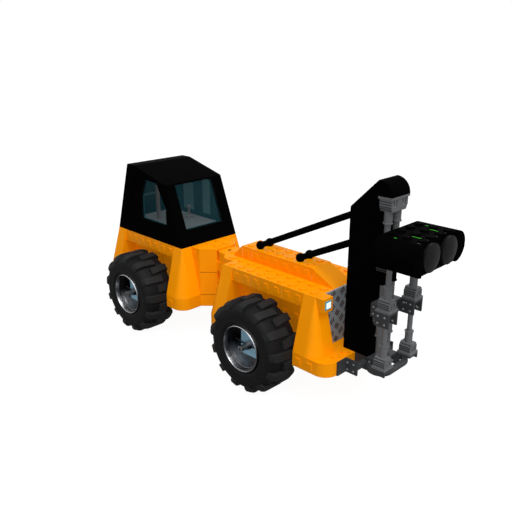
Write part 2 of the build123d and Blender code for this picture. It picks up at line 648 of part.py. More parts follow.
PANEL_SEAM = SLAB_TOP / 2
nose = plan_prism(nose_plan(REAR_FRONT, 1), SLAB_TOP, 0)
shell = plan_prism(nose_plan(REAR_FRONT, 1), PANEL_SEAM - SEAM_W / 2, PANEL_SEAM + SEAM_W / 2)
shell -= plan_prism(nose_plan(REAR_FRONT - SEAM_D, 1), PANEL_SEAM - SEAM_W, PANEL_SEAM + SEAM_W)
nose -= shell
nose -= [pocket(0), pocket(2)]
nose += tongue(REAR_FRONT + NOSE_TIP, 1)
nose -= post(PIVOT_X, 0, SLAB_TOP, OVER, PIN_R + RUN)
spots = both_ways([(x, y) for x in cells(REAR_FRONT, 1) for y in cells(0, 2)])
spots += both_ways([(x, NOSE_HALF / 2) for x in cells(REAR_FRONT + NOSE_SIDE, 1)])
nose += studs(spots, 0)
nose += bosses([(x, -FENDER_T / 2) for x in cells(REAR_FRONT, 1)], CORE_HALF)
save(nose, "rear_nose")

save(fender(R_ARCH_REAR, R_ARCH_FRONT, 1, False), "rear_fender_left")
save(fender(R_ARCH_REAR, R_ARCH_FRONT, -1, False), "rear_fender_right")
save(Compound(children=columns(REAR_BACK, REAR_FRONT)), "rear_columns")

slab = slab_of(R_ARCH_REAR, R_ARCH_FRONT, CORE_HALF, SLAB_LOW, SLAB_TOP)
slab += slab_end(R_ARCH_FRONT, REAR_FRONT + FLARE)
slab += slab_end(R_ARCH_REAR, TOY_REAR)
slab += plan_prism(nose_plan(REAR_FRONT, 1), SLAB_LOW, SLAB_TOP)
slab += bosses([(x, AXLE_Z) for x in cells(R_ARCH_FRONT, 1) + cells(REAR_BACK, 1)], SLAB_HALF)
slab -= bar((AXLE_REAR, -DECK_HALF, AXLE_Z), (AXLE_REAR, DECK_HALF, AXLE_Z), AXLE_R + SEAT)
save(slab, "rear_slab")

# cab: a band on the deck and a raked shell on it, one sloped outline for both
BAND_T = CELL
CAB_LONG = REAR_LONG
CAB_HIGH = 6 * CELL
CAB_WALL = 3.2
FLOOR_T = 7.0
FRAME_DEPTH = 0.6
GLASS_T = 1.0
GLASS_SET = 0.8
LINING_T = 1.0
SCREEN_HALF = 16.2
# along the cab and up it, from the deck's rear edge
CAB_SIDE_SHARES = [(0, 0), (1, 0), (0.792, 0.825), (0.333, 1), (0.217, 1)]
WINDOW_SHARES = [(0.378, 0.242), (0.778, 0.242), (0.783, 0.517), (0.667, 0.825), (0.467, 0.825),
                 (0.383, 0.583)]
FRAME_SHARES = [(0.256, 0.175), (0.778, 0.175), (0.855, 0.267), (0.855, 0.433), (0.533, 0.883),
                (0.333, 0.833), (0.233, 0.508)]
SCREEN_SHARES = [(0.7, 0.2), (1.1, 0.2), (1.1, 0.8), (0.7, 0.8)]
BACK_SHARES = [(-0.1, 0.3), (0.3, 0.3), (0.3, 0.78), (-0.1, 0.78)]
BOSS_SHARES = [(0.155, 0.4), (0.144, 0.233), (0.267, 0.917)]


def cab_points(shares):
    return [(REAR_BACK + s * CAB_LONG, t * CAB_HIGH) for s, t in shares]


def cab_inset(depth):
    """The cab's side outline, drawn in by a depth on every side but the open foot."""
    rear, front, brow, roof, back = cab_points(CAB_SIDE_SHARES)
    foot_rear = (rear[0] - depth * (back[0] - rear[0]) / back[1], -depth)
    foot_front = (front[0] + depth * (front[0] - brow[0]) / brow[1], -depth)
    face = make_face(Polyline(foot_rear, foot_front, brow, roof, back, close=True))
    return Plane.XZ * offset(face, -depth, kind=Kind.INTERSECTION)


DECK_IN = DECK_HALF - CAB_WALL
window = cab_points(WINDOW_SHARES)
screen_cut = side_prism(cab_points(SCREEN_SHARES), SCREEN_HALF)
back_cut = side_prism(cab_points(BACK_SHARES), SCREEN_HALF)
room = extrude(cab_inset(CAB_WALL), DECK_IN, both=True)
hollow = side_prism(cab_points(CAB_SIDE_SHARES), DECK_HALF) - room
save(hollow & slab_of(REAR_BACK, REAR_FRONT, DECK_HALF, 0, BAND_T), "cab_band")
save(room & slab_of(REAR_BACK, REAR_FRONT, DECK_IN, 0, FLOOR_T), "cab_floor")

shell = hollow & slab_of(REAR_BACK, REAR_FRONT, DECK_HALF, BAND_T, CAB_HIGH)
framed = side_prism(cab_points(FRAME_SHARES), DECK_HALF + OVER)
framed -= side_prism(cab_points(FRAME_SHARES), DECK_HALF - FRAME_DEPTH)
shell -= framed
shell -= [side_prism(window, SLAB_HALF), screen_cut, back_cut]
shell += bosses(cab_points(BOSS_SHARES), DECK_HALF)
save(shell, "cab_shell")

# a tinted lining that closes the rear and left openings, and clear panes in the other two
lining = room - extrude(cab_inset(CAB_WALL + LINING_T), DECK_IN - LINING_T, both=True)
lining &= slab_of(REAR_BACK, REAR_FRONT, DECK_IN, FLOOR_T, CAB_HIGH)
right_side = block(REAR_BACK, REAR_FRONT, -SLAB_HALF, 0, FLOOR_T, CAB_HIGH)
lining -= [side_prism(window, SLAB_HALF) & right_side, screen_cut]
save(lining, "cab_lining")
GLASS_OUT = DECK_HALF - FRAME_DEPTH - GLASS_SET
pane = side_prism(window, GLASS_OUT) - side_prism(window, GLASS_OUT - GLASS_T)
save(pane & right_side, "cab_side_glass")
sheet = extrude(cab_inset(GLASS_SET), SCREEN_HALF, both=True)
sheet -= extrude(cab_inset(GLASS_SET + GLASS_T), SCREEN_HALF, both=True)
save((sheet & screen_cut).solids().sort_by(SortBy.VOLUME)[-1], "cab_windscreen")

# inside the cab: a lever on a round foot and a slim upright
LEVER_X = REAR_FRONT - 4.5 * CELL
LEVER_Y = 1.5 * CELL
LEVER_FOOT = 1.8
LEVER_Z = 15.2
LEVER_R = 0.8
KNOB_R = 1.3
UPRIGHT_X = REAR_FRONT - 6.15 * CELL
UPRIGHT_Y = -5.1
UPRIGHT_Z = 31.0
UPRIGHT_HALF = 1.0
lever = post(LEVER_X, LEVER_Y, FLOOR_T, LEVER_Z, LEVER_R)
lever += post(LEVER_X, LEVER_Y, FLOOR_T, FLOOR_T + LEVER_FOOT, STUD_R)
save(lever + Pos(LEVER_X, LEVER_Y, LEVER_Z) * Sphere(KNOB_R), "lever")
save(block(UPRIGHT_X - UPRIGHT_HALF, UPRIGHT_X + UPRIGHT_HALF, UPRIGHT_Y - UPRIGHT_HALF,
           UPRIGHT_Y + UPRIGHT_HALF, FLOOR_T, UPRIGHT_Z), "cab_upright")

# tyres: a balloon carcass in flat facets, with one block lug to a facet
RIM_GAP = 0.1
HALF_W = TYRE_W / 2
CARCASS_R = TYRE_R - LUG_H
SIDES = 2 * LUGS
FACET_SHARE = 0.5
# up the sidewall from bead to crown, and out from the middle
CARCASS_SHARES = [(0.05, 0.90), (0.25, 1.00), (0.70, 0.98), (0.94, 0.76)]
# the same for a lug, whose crown is the tyre's full radius
LUG_SHARES = [(0.60, 0.90), (0.66, 1.00), (0.90, 0.90), (1.00, 0.60), (1.00, -0.26),
              (0.70, -0.26)]


def facet_ring(flat, y):
    """A many-sided outline across the axle whose flats lie at one radius."""
    across = RegularPolygon(flat, SIDES, major_radius=False)
    return Plane(origin=(0, y, 0), z_dir=(0, 1, 0)) * across


def tyre():
    right = [(BEAD_R + s * (CARCASS_R - BEAD_R), t * HALF_W) for s, t in CARCASS_SHARES]
    stations = [(r, -y) for r, y in right] + list(reversed(right))
    body = loft([facet_ring(r, y) for r, y in stations], ruled=True)
    bore = facet_ring(BEAD_R, -HALF_W - OVER)
    body -= extrude(bore, TYRE_W + 2 * OVER)
    side = [(BEAD_R + s * (TYRE_R - BEAD_R), t * HALF_W) for s, t in LUG_SHARES]
    lugs = []
    for k in range(SIDES):
        way = 1 if k % 2 else -1
        face = make_face(Polyline(*[(r, way * y) for r, y in side], close=True))
        lug = extrude(face, LUG_W / 2, both=True)
        lugs.append(Rot(0, 360 * (k + FACET_SHARE) / SIDES, 0) * lug)
    return body + lugs


TYRE = tyre()

# rims: a stepped dish with slim spokes, its open side outwards
RIM_R = BEAD_R - RIM_GAP
# out from the axle, and out from the middle
RIM_SHARES = [(1, -0.90), (1, 1), (0.93, 1), (0.90, 0.78), (0.84, 0.74), (0.83, -0.6),
              (0.93, -0.90)]
HUB_R = 2.9
HUB_LONG = 5.0
HUB_DEPTH = 3.0
SPOKE_W = 1.4
SPOKE_T = 1.6
profile = [(r * RIM_R, y * HALF_W) for r, y in RIM_SHARES]
rim = revolve(make_face(Polyline(*profile, close=True)), Axis.Y)
HUB_FACE = HALF_W - HUB_DEPTH
HUB_BACK = HUB_FACE - HUB_LONG
rim += bar((0, HUB_BACK, 0), (0, HUB_FACE, 0), HUB_R)
SPOKE_REACH = RIM_R * RIM_SHARES[3][0]
arm = Pos(0, HUB_BACK + SPOKE_T / 2, 0) * Box(2 * SPOKE_REACH, SPOKE_T, SPOKE_W)
rim += [arm, Rot(0, 90, 0) * arm]
rim -= bar((0, -HALF_W, 0), (0, HALF_W, 0), AXLE_R + RUN)

# axles: a shaft, and a square bearing block that reaches into each rim
BLOCK_HALF = 7.4
BLOCK_CUT = 1.2
BLOCK_GAP = 0.5
PLATE_LONG = 22.4
PLATE_HIGH = 16.0
PLATE_T = 4.0
PIN_SHORT = 0.4
TYRE_MID = TYRE_OUT - HALF_W

for end, x in (("front", AXLE_FRONT), ("rear", AXLE_REAR)):
    tip = TYRE_MID + HALF_W - PIN_SHORT
    axle = bar((x, -tip, AXLE_Z), (x, tip, AXLE_Z), AXLE_R)
    for side, way in (("left", 1), ("right", -1)):
        spot = Pos(x, way * TYRE_MID, AXLE_Z)
        wheel = TYRE if way > 0 else mirror(TYRE, about=Plane.XZ)
        save(spot * wheel, "tyre_" + end + "_" + side)
        dish = rim if way > 0 else mirror(rim, about=Plane.XZ)
        save(spot * dish, "rim_" + end + "_" + side)
        y0, y1 = sorted((way * CORE_HALF, way * (CORE_HALF + PLATE_T)))
        axle += block(x - PLATE_LONG / 2, x + PLATE_LONG / 2, y0, y1,
                      AXLE_Z - PLATE_HIGH / 2, AXLE_Z + PLATE_HIGH / 2)
        y0, y1 = sorted((way * (CORE_HALF + PLATE_T), way * (TYRE_MID + HUB_BACK - BLOCK_GAP)))
        carrier = block(x - BLOCK_HALF, x + BLOCK_HALF, y0, y1,
                        AXLE_Z - BLOCK_HALF, AXLE_Z + BLOCK_HALF)
        axle += chamfer(carrier.edges().filter_by(Axis.Y), BLOCK_CUT)
    save(axle, "axle_" + end)
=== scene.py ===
"""Looks of a brick-built toy mast carrier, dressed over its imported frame."""

import json
import math

import bpy
from bpy.props import FloatProperty, FloatVectorProperty, IntProperty, PointerProperty
from mathutils import Matrix, Vector


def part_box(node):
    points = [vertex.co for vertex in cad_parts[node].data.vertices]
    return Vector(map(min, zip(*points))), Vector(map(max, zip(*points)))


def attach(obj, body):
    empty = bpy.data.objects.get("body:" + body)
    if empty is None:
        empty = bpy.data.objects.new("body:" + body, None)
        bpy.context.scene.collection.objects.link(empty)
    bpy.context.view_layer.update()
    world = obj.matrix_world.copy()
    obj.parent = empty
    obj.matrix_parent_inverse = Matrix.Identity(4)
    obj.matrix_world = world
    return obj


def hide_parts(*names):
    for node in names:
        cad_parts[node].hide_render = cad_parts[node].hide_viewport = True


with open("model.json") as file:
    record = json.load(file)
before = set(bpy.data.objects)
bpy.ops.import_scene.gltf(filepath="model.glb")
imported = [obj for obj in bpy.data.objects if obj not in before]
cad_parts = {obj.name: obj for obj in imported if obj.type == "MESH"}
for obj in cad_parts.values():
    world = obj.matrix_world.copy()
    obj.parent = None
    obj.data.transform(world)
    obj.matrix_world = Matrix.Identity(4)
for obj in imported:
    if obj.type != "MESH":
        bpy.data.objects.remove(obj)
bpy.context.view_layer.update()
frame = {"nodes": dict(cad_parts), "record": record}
NODES = frame["nodes"]

bl_info = {
    "name": "Brick mast carrier",
    "version": (1, 1, 0),
    "blender": (4, 5, 0),
    "location": "View3D > Sidebar > Mast carrier",
    "description": "Dresses the brick-built mast carrier and sets up its studio",
    "category": "Object",
}

MM = 0.001
ENDS = ("front", "rear")
SIDES = (("left", 1), ("right", -1))

# places that the scene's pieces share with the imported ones, in millimetres and by the bricks'
# grid: x from the front deck's rear edge, y from the middle, z from the deck's top
CELL = 8
GRILLE_AT = 9 * CELL
FRONT_END = 11 * CELL
MAST_FRONT = 12 * CELL
POST_X = 12.5 * CELL
HEAD_REAR = 13 * CELL
LEG_X = 13.5 * CELL
LEG_Y = 1.5 * CELL
MAST_HALF = CELL
CORE_HALF = 2 * CELL
DECK_HALF = 3 * CELL
SLAB_LOW = -5 * CELL
SLAB_TOP = -4 * CELL
HEAD_LOW = 3 * CELL
HEAD_TOP = 5 * CELL
PLATE_TRIM = 0.8
CHEEK_T = 1.0
MAST_AIR = 0.4
HANGER_H = 7.7

# how deep a laid strip or cap sinks into what carries it
SINK = 0.3


def linear(code):
    """An sRGB hex value as linear red, green and blue."""
    parts = [int(code[k:k + 2], 16) / 255 for k in (0, 2, 4)]
    return [c / 12.92 if c <= 0.04045 else ((c + 0.055) / 1.055) ** 2.4 for c in parts]


def colour(code, what):
    """A colour property, given as an sRGB hex value."""
    return FloatVectorProperty(name=what, description=what + ", its plain colour", subtype="COLOR",
                               size=3, min=0, max=1, default=linear(code))


def length(value, what, note):
    """A length property, given in millimetres."""
    return FloatProperty(name=what, description=note, default=value * MM, min=0, subtype="DISTANCE",
                         unit="LENGTH", precision=5)


def power(value, what, note):
    """A property for the strength of a light."""
    return FloatProperty(name=what, description=note, default=value, min=0, max=10)


class CarrierPlastics(bpy.types.PropertyGroup):
    """Colours of the moulded, plated and printed surfaces."""

    orange: colour("FF9A00", "Orange bricks")
    black: colour("040404", "Black bricks")
    dome: colour("151516", "Domed discs of the head")
    grey: colour("646668", "Dark grey bricks")
    iron: colour("37393B", "Riveted plates")
    # rivet caps: a lighter grey that is a painted highlight
    cap: colour("7C7F82", "Rivet caps")
    groove: colour("3A3B3D", "Shaded grooves of the sockets")
    blue_grey: colour("86AFC4", "Sand-blue axle brackets")
    pin: colour("8C8E91", "Plated pins of the axles")
    # plating: painted reflection, a darker colour facing down and a lighter one facing up
    plate_shade: colour("5A5B5E", "Plated band where it faces down")
    plate_lit: colour("C9CBCE", "Plated band where it faces up")
    barrel_shade: colour("19191A", "Plated barrel where it faces down")
    barrel_lit: colour("94969A", "Plated barrel where it faces up")
    floor_grey: colour("545C5F", "Light grey cab floor")
    rubber: colour("0F0F10", "Tyre rubber")
    # lugs: the rubber painted paler, a painted highlight
    lug_highlight: colour("1B1C1D", "Lugs painted paler as a highlight")
    tint: colour("15434D", "Tinted lining")
    # ribs: the lining's tint painted paler, a painted sheen
    pale_tint: colour("456A70", "Ribs of the lining")
    pane: colour("3A5054", "Clear panes")
    tread: colour("858E93", "Tread plate in the grille")
    bars: colour("3A2620", "Bars on the tread plate")
    seam: colour("9A5C05", "Seams between the bricks")
    # lit edges: a paler orange that is a painted highlight
    edge: colour("F5A636", "Light edges of the bricks")
    print_green: colour("46E02E", "Green print on the head")
    print_white: colour("656A69", "White print on the head")
    lens_rim: colour("2FA9C4", "Rim of a lamp lens")
    # lens middle and its light: a painted highlight and a painted glow
    lens: colour("F6FFFF", "Lamp lens")
    glow: colour("E8FFFF", "Painted glow of a lamp lens")


class CarrierWheels(bpy.types.PropertyGroup):
    """Sizes of the tyre and the rim."""

    bead: length(13.9, "Bead radius", "Radius of the hole in the tyre")
    crown: length(25.4, "Carcass radius", "Radius of the tyre between its lugs")
    lug_top: length(27.4, "Lug radius", "Radius over the lugs")
    half: length(11.45, "Half width", "Half of the tyre's width")
    lug_wide: length(4.9, "Lug width", "Width of a lug round the tyre")
    lugs: IntProperty(name="Lugs in a row", description="Lugs on one half of the tread", default=13,
                      min=3, max=40)
    lean: FloatProperty(name="Lug lean", description="Turn of a lug from the axle's line",
                        default=math.radians(5), subtype="ANGLE")
    rim: length(13.8, "Rim radius", "Radius of the rim's lip")


class CarrierStudio(bpy.types.PropertyGroup):
    """Light and backdrop round the model."""

    key: power(0.75, "Key light", "Strength of the soft high light")
    front: power(2.15, "Front light", "Strength of the shadowless high light")
    fill: power(0.55, "Fill light", "Strength of the shadowless side light")
    sky: power(0.24, "Sky light", "Strength of the even light all round")
    floor: colour("9A9A9A", "Studio floor as the object sees it")


def node(tree, kind, links=(), **settings):
    """Adds one shader node, sets its values and links its inputs."""
    made = tree.nodes.new(kind)
    inputs = settings.pop("inputs", {})
    for name, value in settings.items():
        setattr(made, name, value)
    for name, value in inputs.items():
        made.inputs[name].default_value = value
    for socket, source in links:
        tree.links.new(made.inputs[socket], source)
    return made


def surface(name, base, **inputs):
    """A material with one principled shader, its constants on the shader's own sockets."""
    made = bpy.data.materials.new(name)
    made.use_nodes = True
    shader = made.node_tree.nodes["Principled BSDF"]
    shader.inputs["Base Color"].default_value = (*base, 1)
    for socket, value in inputs.items():
        shader.inputs[socket.replace("_", " ")].default_value = value
    return made, shader


# sizes of the patterns, in millimetres: the cloudiness of a moulding and the waves under plating;
# the real grain is a few tenths of a millimetre and too fine to show, so it is drawn coarser
CLOUD = 9
WAVE = 2.2
# the noise mostly stays between these values, and the gloss wanders by these amounts with it
NOISE_LOW, NOISE_HIGH = 0.3, 0.7
MOULD_WANDER = (-0.04, 0.05)
PLATE_WANDER = (-0.03, 0.05)


def moulded(name, base, gloss, grain, relief, mottle, round_edge=0.0, **inputs):
    """A moulded surface: fine relief, uneven gloss, faint cloudiness and softly rounded edges.

    Grain, relief and round_edge are in millimetres, gloss is the roughness, and mottle is the
    share by which the colour wanders."""
    made, shader = surface(name, base, **inputs)
    tree = made.node_tree
    place = node(tree, "ShaderNodeTexCoord").outputs["Object"]
    fine = node(tree, "ShaderNodeTexNoise", [("Vector", place)],
                inputs={"Scale": 1 / (grain * MM), "Detail": 3.0, "Roughness": 0.55})
    broad = node(tree, "ShaderNodeTexNoise", [("Vector", place)],
                 inputs={"Scale": 1 / (CLOUD * MM), "Detail": 2.0, "Roughness": 0.5})
    rough = node(tree, "ShaderNodeMapRange", [("Value", broad.outputs["Fac"])],
                 inputs={"From Min": NOISE_LOW, "From Max": NOISE_HIGH,
                         "To Min": gloss + MOULD_WANDER[0],
                         "To Max": gloss + MOULD_WANDER[1]})
    shade = node(tree, "ShaderNodeMix", [("Factor", broad.outputs["Fac"])], data_type="RGBA")
    shade.inputs["A"].default_value = (*[c * (1 - mottle) for c in base], 1)
    shade.inputs["B"].default_value = (*[min(1, c * (1 + mottle)) for c in base], 1)
    bump = node(tree, "ShaderNodeBump", [("Height", fine.outputs["Fac"])],
                inputs={"Strength": 0.35, "Distance": relief * MM})
    if round_edge:
        soft = node(tree, "ShaderNodeBevel", samples=6, inputs={"Radius": round_edge * MM})
        tree.links.new(bump.inputs["Normal"], soft.outputs["Normal"])
    for socket, source in (("Base Color", shade.outputs["Result"]),
                           ("Roughness", rough.outputs["Result"]), ("Normal", bump.outputs[0])):
        tree.links.new(shader.inputs[socket], source)
    return made


def plated(name, low, high, gloss, relief):
    """A plated surface with a painted reflection, dark facing the ground and bright facing up."""
    made, shader = surface(name, high, Metallic=1.0)
    tree = made.node_tree
    place = node(tree, "ShaderNodeTexCoord").outputs["Object"]
    facing = node(tree, "ShaderNodeNewGeometry").outputs["Normal"]
    parts = node(tree, "ShaderNodeSeparateXYZ", [("Vector", facing)])
    lit = node(tree, "ShaderNodeMapRange", [("Value", parts.outputs["Z"])],
               inputs={"From Min": 0.05, "From Max": 1.0, "To Min": 0.0, "To Max": 1.0})
    wave = node(tree, "ShaderNodeTexNoise", [("Vector", place)],
                inputs={"Scale": 1 / (WAVE * MM), "Detail": 2.0, "Roughness": 0.5})
    shade = node(tree, "ShaderNodeMix", [("Factor", lit.outputs["Result"])], data_type="RGBA")
    shade.inputs["A"].default_value = (*low, 1)
    shade.inputs["B"].default_value = (*high, 1)
    rough = node(tree, "ShaderNodeMapRange", [("Value", wave.outputs["Fac"])],
                 inputs={"From Min": NOISE_LOW, "From Max": NOISE_HIGH,
                         "To Min": gloss + PLATE_WANDER[0],
                         "To Max": gloss + PLATE_WANDER[1]})
    bump = node(tree, "ShaderNodeBump", [("Height", wave.outputs["Fac"])],
                inputs={"Strength": 0.3, "Distance": relief * MM})
    for socket, source in (("Base Color", shade.outputs["Result"]),
                           ("Roughness", rough.outputs["Result"]), ("Normal", bump.outputs[0])):
        tree.links.new(shader.inputs[socket], source)
    return made


# how far a pin reaches in from the axle's end, in millimetres
PIN_LONG = 7.9


def axle_finish(plastics):
    """Sand-blue ABS whose pins, far out along y, are dark plated metal."""
    made = moulded("sand-blue ABS with plated pins", plastics.blue_grey, 0.4, 0.9, 0.012, 0.04,
                   IOR=1.5, Specular_IOR_Level=0.2)
    tree = made.node_tree
    shader = tree.nodes["Principled BSDF"]
    paint = shader.inputs["Base Color"].links[0].from_socket
    place = node(tree, "ShaderNodeTexCoord").outputs["Object"]
    parts = node(tree, "ShaderNodeSeparateXYZ", [("Vector", place)])
    out = node(tree, "ShaderNodeMath", [(0, parts.outputs["Y"])], operation="ABSOLUTE")
    pin_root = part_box("axle_front")[1][1] - PIN_LONG * MM
    pin = node(tree, "ShaderNodeMath", [(0, out.outputs[0])], operation="GREATER_THAN",
               inputs={1: pin_root})
    shade = node(tree, "ShaderNodeMix", [("Factor", pin.outputs[0]), ("A", paint)],
                 data_type="RGBA")
    shade.inputs["B"].default_value = (*plastics.pin, 1)
    tree.links.new(shader.inputs["Base Color"], shade.outputs["Result"])
    tree.links.new(shader.inputs["Metallic"], pin.outputs[0])
    return made


def finishes(plastics):
    """Every finish by the record's slot name, and the finishes of the scene's own pieces."""
    return {
        # glossy ABS straight from a steel mould: an even colour, a faint orange-peel, and edges
        # just round enough to catch a thin light line
        "orange": moulded("orange moulded ABS", plastics.orange, 0.42, 1.1, 0.010, 0.02, 0.22,
                          IOR=1.3, Specular_IOR_Level=0.2),
        # the same mould finish in black, which hides nearly all of it: only edges and domes glint
        "black": moulded("black moulded ABS", plastics.black, 0.42, 1.1, 0.012, 0.25, 0.2,
                         IOR=1.06, Specular_IOR_Level=0.05),
        # a polished mould makes the discs shinier, so their domes shade off softly
        "dome": moulded("polished black ABS", plastics.dome, 0.3, 1.1, 0.006, 0.1,
                        IOR=1.3, Specular_IOR_Level=0.2),
        # dull grey structural parts: a finer grain and almost no sheen
        "grey": moulded("dark grey moulded ABS", plastics.grey, 0.42, 0.9, 0.012, 0.06, 0.12,
                        IOR=1.53, Specular_IOR_Level=0.15),
        # a darker batch of the same ABS, so that the riveted plates stand off the posts
        "iron": moulded("near-black moulded ABS", plastics.iron, 0.42, 0.9, 0.012, 0.08, 0.12,
                        IOR=1.53, Specular_IOR_Level=0.15),
        # rivet heads painted brighter than their plate: a painted highlight
        "cap": moulded("grey ABS with painted highlight", plastics.cap, 0.4, 0.6, 0.01, 0.08,
                       IOR=1.53, Specular_IOR_Level=0.3),
        # the floor of a narrow moulded groove, dark because no light gets in
        "groove": moulded("shaded groove in ABS", plastics.groove, 0.55, 0.5, 0.01, 0.08,
                          IOR=1.53, Specular_IOR_Level=0.1),
        # satin sand-blue ABS, whose plated pins show as dull metal through the rims
        "blue_grey": axle_finish(plastics),
        # a wide flat plate, duller than the bricks
        "floor_grey": moulded("light grey moulded ABS", plastics.floor_grey, 0.5, 0.9, 0.012,
                              0.04, IOR=1.53, Specular_IOR_Level=0.15),
        # the gap between two bricks reads as a thin brown line
        "seam": moulded("shaded seam in ABS", plastics.seam, 0.6, 0.5, 0.01, 0.1,
                        IOR=1.53, Specular_IOR_Level=0.1),
        # a rounded brick edge catches the light: its thin pale line is a painted highlight
        "edge": moulded("lit brick edge in ABS", plastics.edge, 0.5, 0.5, 0.01, 0.04,
                        IOR=1.53, Specular_IOR_Level=0.2),
        # moulded rubber scatters light: no clear highlight, and a coarser skin than the ABS
        "tyre": moulded("moulded tyre rubber", plastics.rubber, 0.6, 0.7, 0.03, 0.14,
                        IOR=1.35, Specular_IOR_Level=0.2),
        # the same rubber painted paler for the lugs: a painted highlight on their faces
        "lug_highlight": moulded("tread rubber with painted highlight", plastics.lug_highlight, 0.62, 0.7, 0.03, 0.2,
                           IOR=1.35, Specular_IOR_Level=0.25),
        # a smooth tile with a print that makes it look like steel plate
        "tread_plate": moulded("printed tread plate", plastics.tread, 0.42, 1.6, 0.02, 0.08,
                               IOR=1.5, Specular_IOR_Level=0.25),
        # rust-brown ink in short raised bars
        "bars": moulded("printed tread bars", plastics.bars, 0.5, 0.6, 0.02, 0.12,
                        IOR=1.5, Specular_IOR_Level=0.2),
        # pad-printed ink lies thin and matt on the ABS
        "print_green": moulded("green pad print", plastics.print_green, 0.5, 0.6, 0.005, 0.05,
                               IOR=1.5, Specular_IOR_Level=0.2),
        "print_white": moulded("grey-white pad print", plastics.print_white, 0.5, 0.6, 0.005, 0.04,
                               IOR=1.5, Specular_IOR_Level=0.2),
        # chrome plated in vacuum on plastic: a mirror that the moulding under it makes wavy
        # its colour is a painted reflection: dark facing down, bright facing up
        "chrome": plated("plated chrome with painted reflection", plastics.plate_shade, plastics.plate_lit, 0.22,
                         0.02),
        # the same plating deep in the barrel, with painted shade
        # and a painted reflection of the dark tyre and the block
        "dark_chrome": plated("shaded plated barrel", plastics.barrel_shade, plastics.barrel_lit,
                              0.34, 0.02),
        # tinted styrene: deep teal, glossy, and a little uneven where it was moulded thin
        "glass": moulded("tinted moulded styrene", plastics.tint, 0.2, 2.5, 0.01, 0.08,
                         IOR=1.59, Specular_IOR_Level=0.1, Alpha=0.96),
        # the ribs: the same styrene painted paler, a painted sheen
        "pale_glass": moulded("tinted styrene with painted sheen", plastics.pale_tint, 0.2, 2.5, 0.01, 0.08,
                              IOR=1.59, Specular_IOR_Level=0.1),
        # clear styrene: nearly unseen but for its gloss
        "clear_glass": moulded("clear moulded styrene", plastics.pane, 0.08, 2.5, 0.004, 0.02,
                               IOR=1.3, Specular_IOR_Level=0.05, Alpha=0.04),
        # a lens of tinted polycarbonate, cyan where its edge gathers the light
        "lens_rim": moulded("cyan tinted lens edge", plastics.lens_rim, 0.25, 0.8, 0.005, 0.06,
                            IOR=1.58),
        # its middle is painted nearly white and made to glow: a painted highlight
        "lamp": moulded("lens with painted glow", plastics.lens, 0.2, 0.8, 0.005, 0.01, IOR=1.58,
                        Emission_Color=(*plastics.glow, 1), Emission_Strength=0.6),
    }


def wear(piece, finish):
    """Gives a piece one finish all over."""
    piece.data.materials.clear()
    piece.data.materials.append(finish)


# edges that turn by more degrees than this stay sharp
CREASE = 32


def piece_of(name, shape, finish, body):
    """A new piece from points and faces, smooth but for its sharp edges."""
    points, faces = shape
    mesh = bpy.data.meshes.new(name)
    mesh.from_pydata([tuple(p) for p in points], [], faces)
    mesh.validate()
    mesh.shade_smooth()
    mesh.set_sharp_from_angle(angle=math.radians(CREASE))
    piece = bpy.data.objects.new(name, mesh)
    bpy.context.scene.collection.objects.link(piece)
    wear(piece, bpy.data.materials[finish])
    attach(piece, body)
    return piece


def lathe(profile, segments):
    """A closed outline of (radius, y) points turned round the y axis."""
    points, faces = [], []
    count = len(profile)
    for k in range(segments):
        turn = 2 * math.pi * k / segments
        points += [(r * math.cos(turn), y, r * math.sin(turn)) for r, y in profile]
    for k in range(segments):
        here, there = k * count, (k + 1) % segments * count
        for j in range(count):
            after = (j + 1) % count
            faces.append((here + j, here + after, there + after, there + j))
    return points, faces


def joined(parts):
    """Several point-and-face lists as one."""
    points, faces = [], []
    for more_points, more_faces in parts:
        shift = len(points)
        points += more_points
        faces += [tuple(shift + i for i in face) for face in more_faces]
    return points, faces


# the six sides of eight points that run through x, y and z in turn
SIX_SIDES = [(0, 1, 3, 2), (4, 6, 7, 5), (0, 4, 5, 1), (2, 3, 7, 6), (0, 2, 6, 4), (1, 5, 7, 3)]


def box(low, high):
    """A box's points and faces."""
    points = [(x, y, z) for x in (low[0], high[0]) for y in (low[1], high[1])
              for z in (low[2], high[2])]
    return points, SIX_SIDES


def strip(start, end, out, wide, proud):
    """A thin straight strip from start to end, laid on a face that looks out."""
    out = Vector(out).normalized()
    across = (end - start).cross(out).normalized() * (wide * MM / 2)
    points = [tuple(p + side * across + lift * MM * out) for p in (start, end) for side in (1, -1)
              for lift in (-SINK, proud)]
    return points, SIX_SIDES


def turned_inside_out(faces):
    """The same faces, each looking the other way."""
    return [tuple(reversed(face)) for face in faces]


def placed(shape, centre, side):
    """A wheel's shape at its centre; the right side's is the mirror image of the left's."""
    points, faces = shape
    moved = [(centre[0] + x, centre[1] + side * y, centre[2] + z) for x, y, z in points]
    return moved, faces if side > 0 else turned_inside_out(faces)


def deck(x, y, z):
    """A point given in millimetres from the front deck's rear edge, its middle and its top."""
    low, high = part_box("grille")
    return Vector((low[0] + (x - GRILLE_AT) * MM, y * MM, high[2] + z * MM))


def wheel_centre(end, name):
    """The middle of a wheel, from the boxes of its rim and tyre."""
    low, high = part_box("rim_" + end + "_" + name)
    tyre_low, tyre_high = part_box("tyre_" + end + "_" + name)
    return (low[0] + high[0]) / 2, (tyre_low[1] + tyre_high[1]) / 2, (low[2] + high[2]) / 2


class CARRIER_OT_plastics(bpy.types.Operator):
    """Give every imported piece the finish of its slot"""

    bl_idname = "carrier.plastics"
    bl_label = "Paint the bricks"

    def execute(self, context):
        made = finishes(context.scene.carrier_plastics)
        for part in frame["record"]["subparts"]:
            wear(NODES[part["node"]], made[part["material_slot"]])
        for name in ("tool_frame", "mid_hangers"):
            wear(NODES[name], made["iron"])
        wear(NODES["head_domes"], made["dome"])
        return {"FINISHED"}


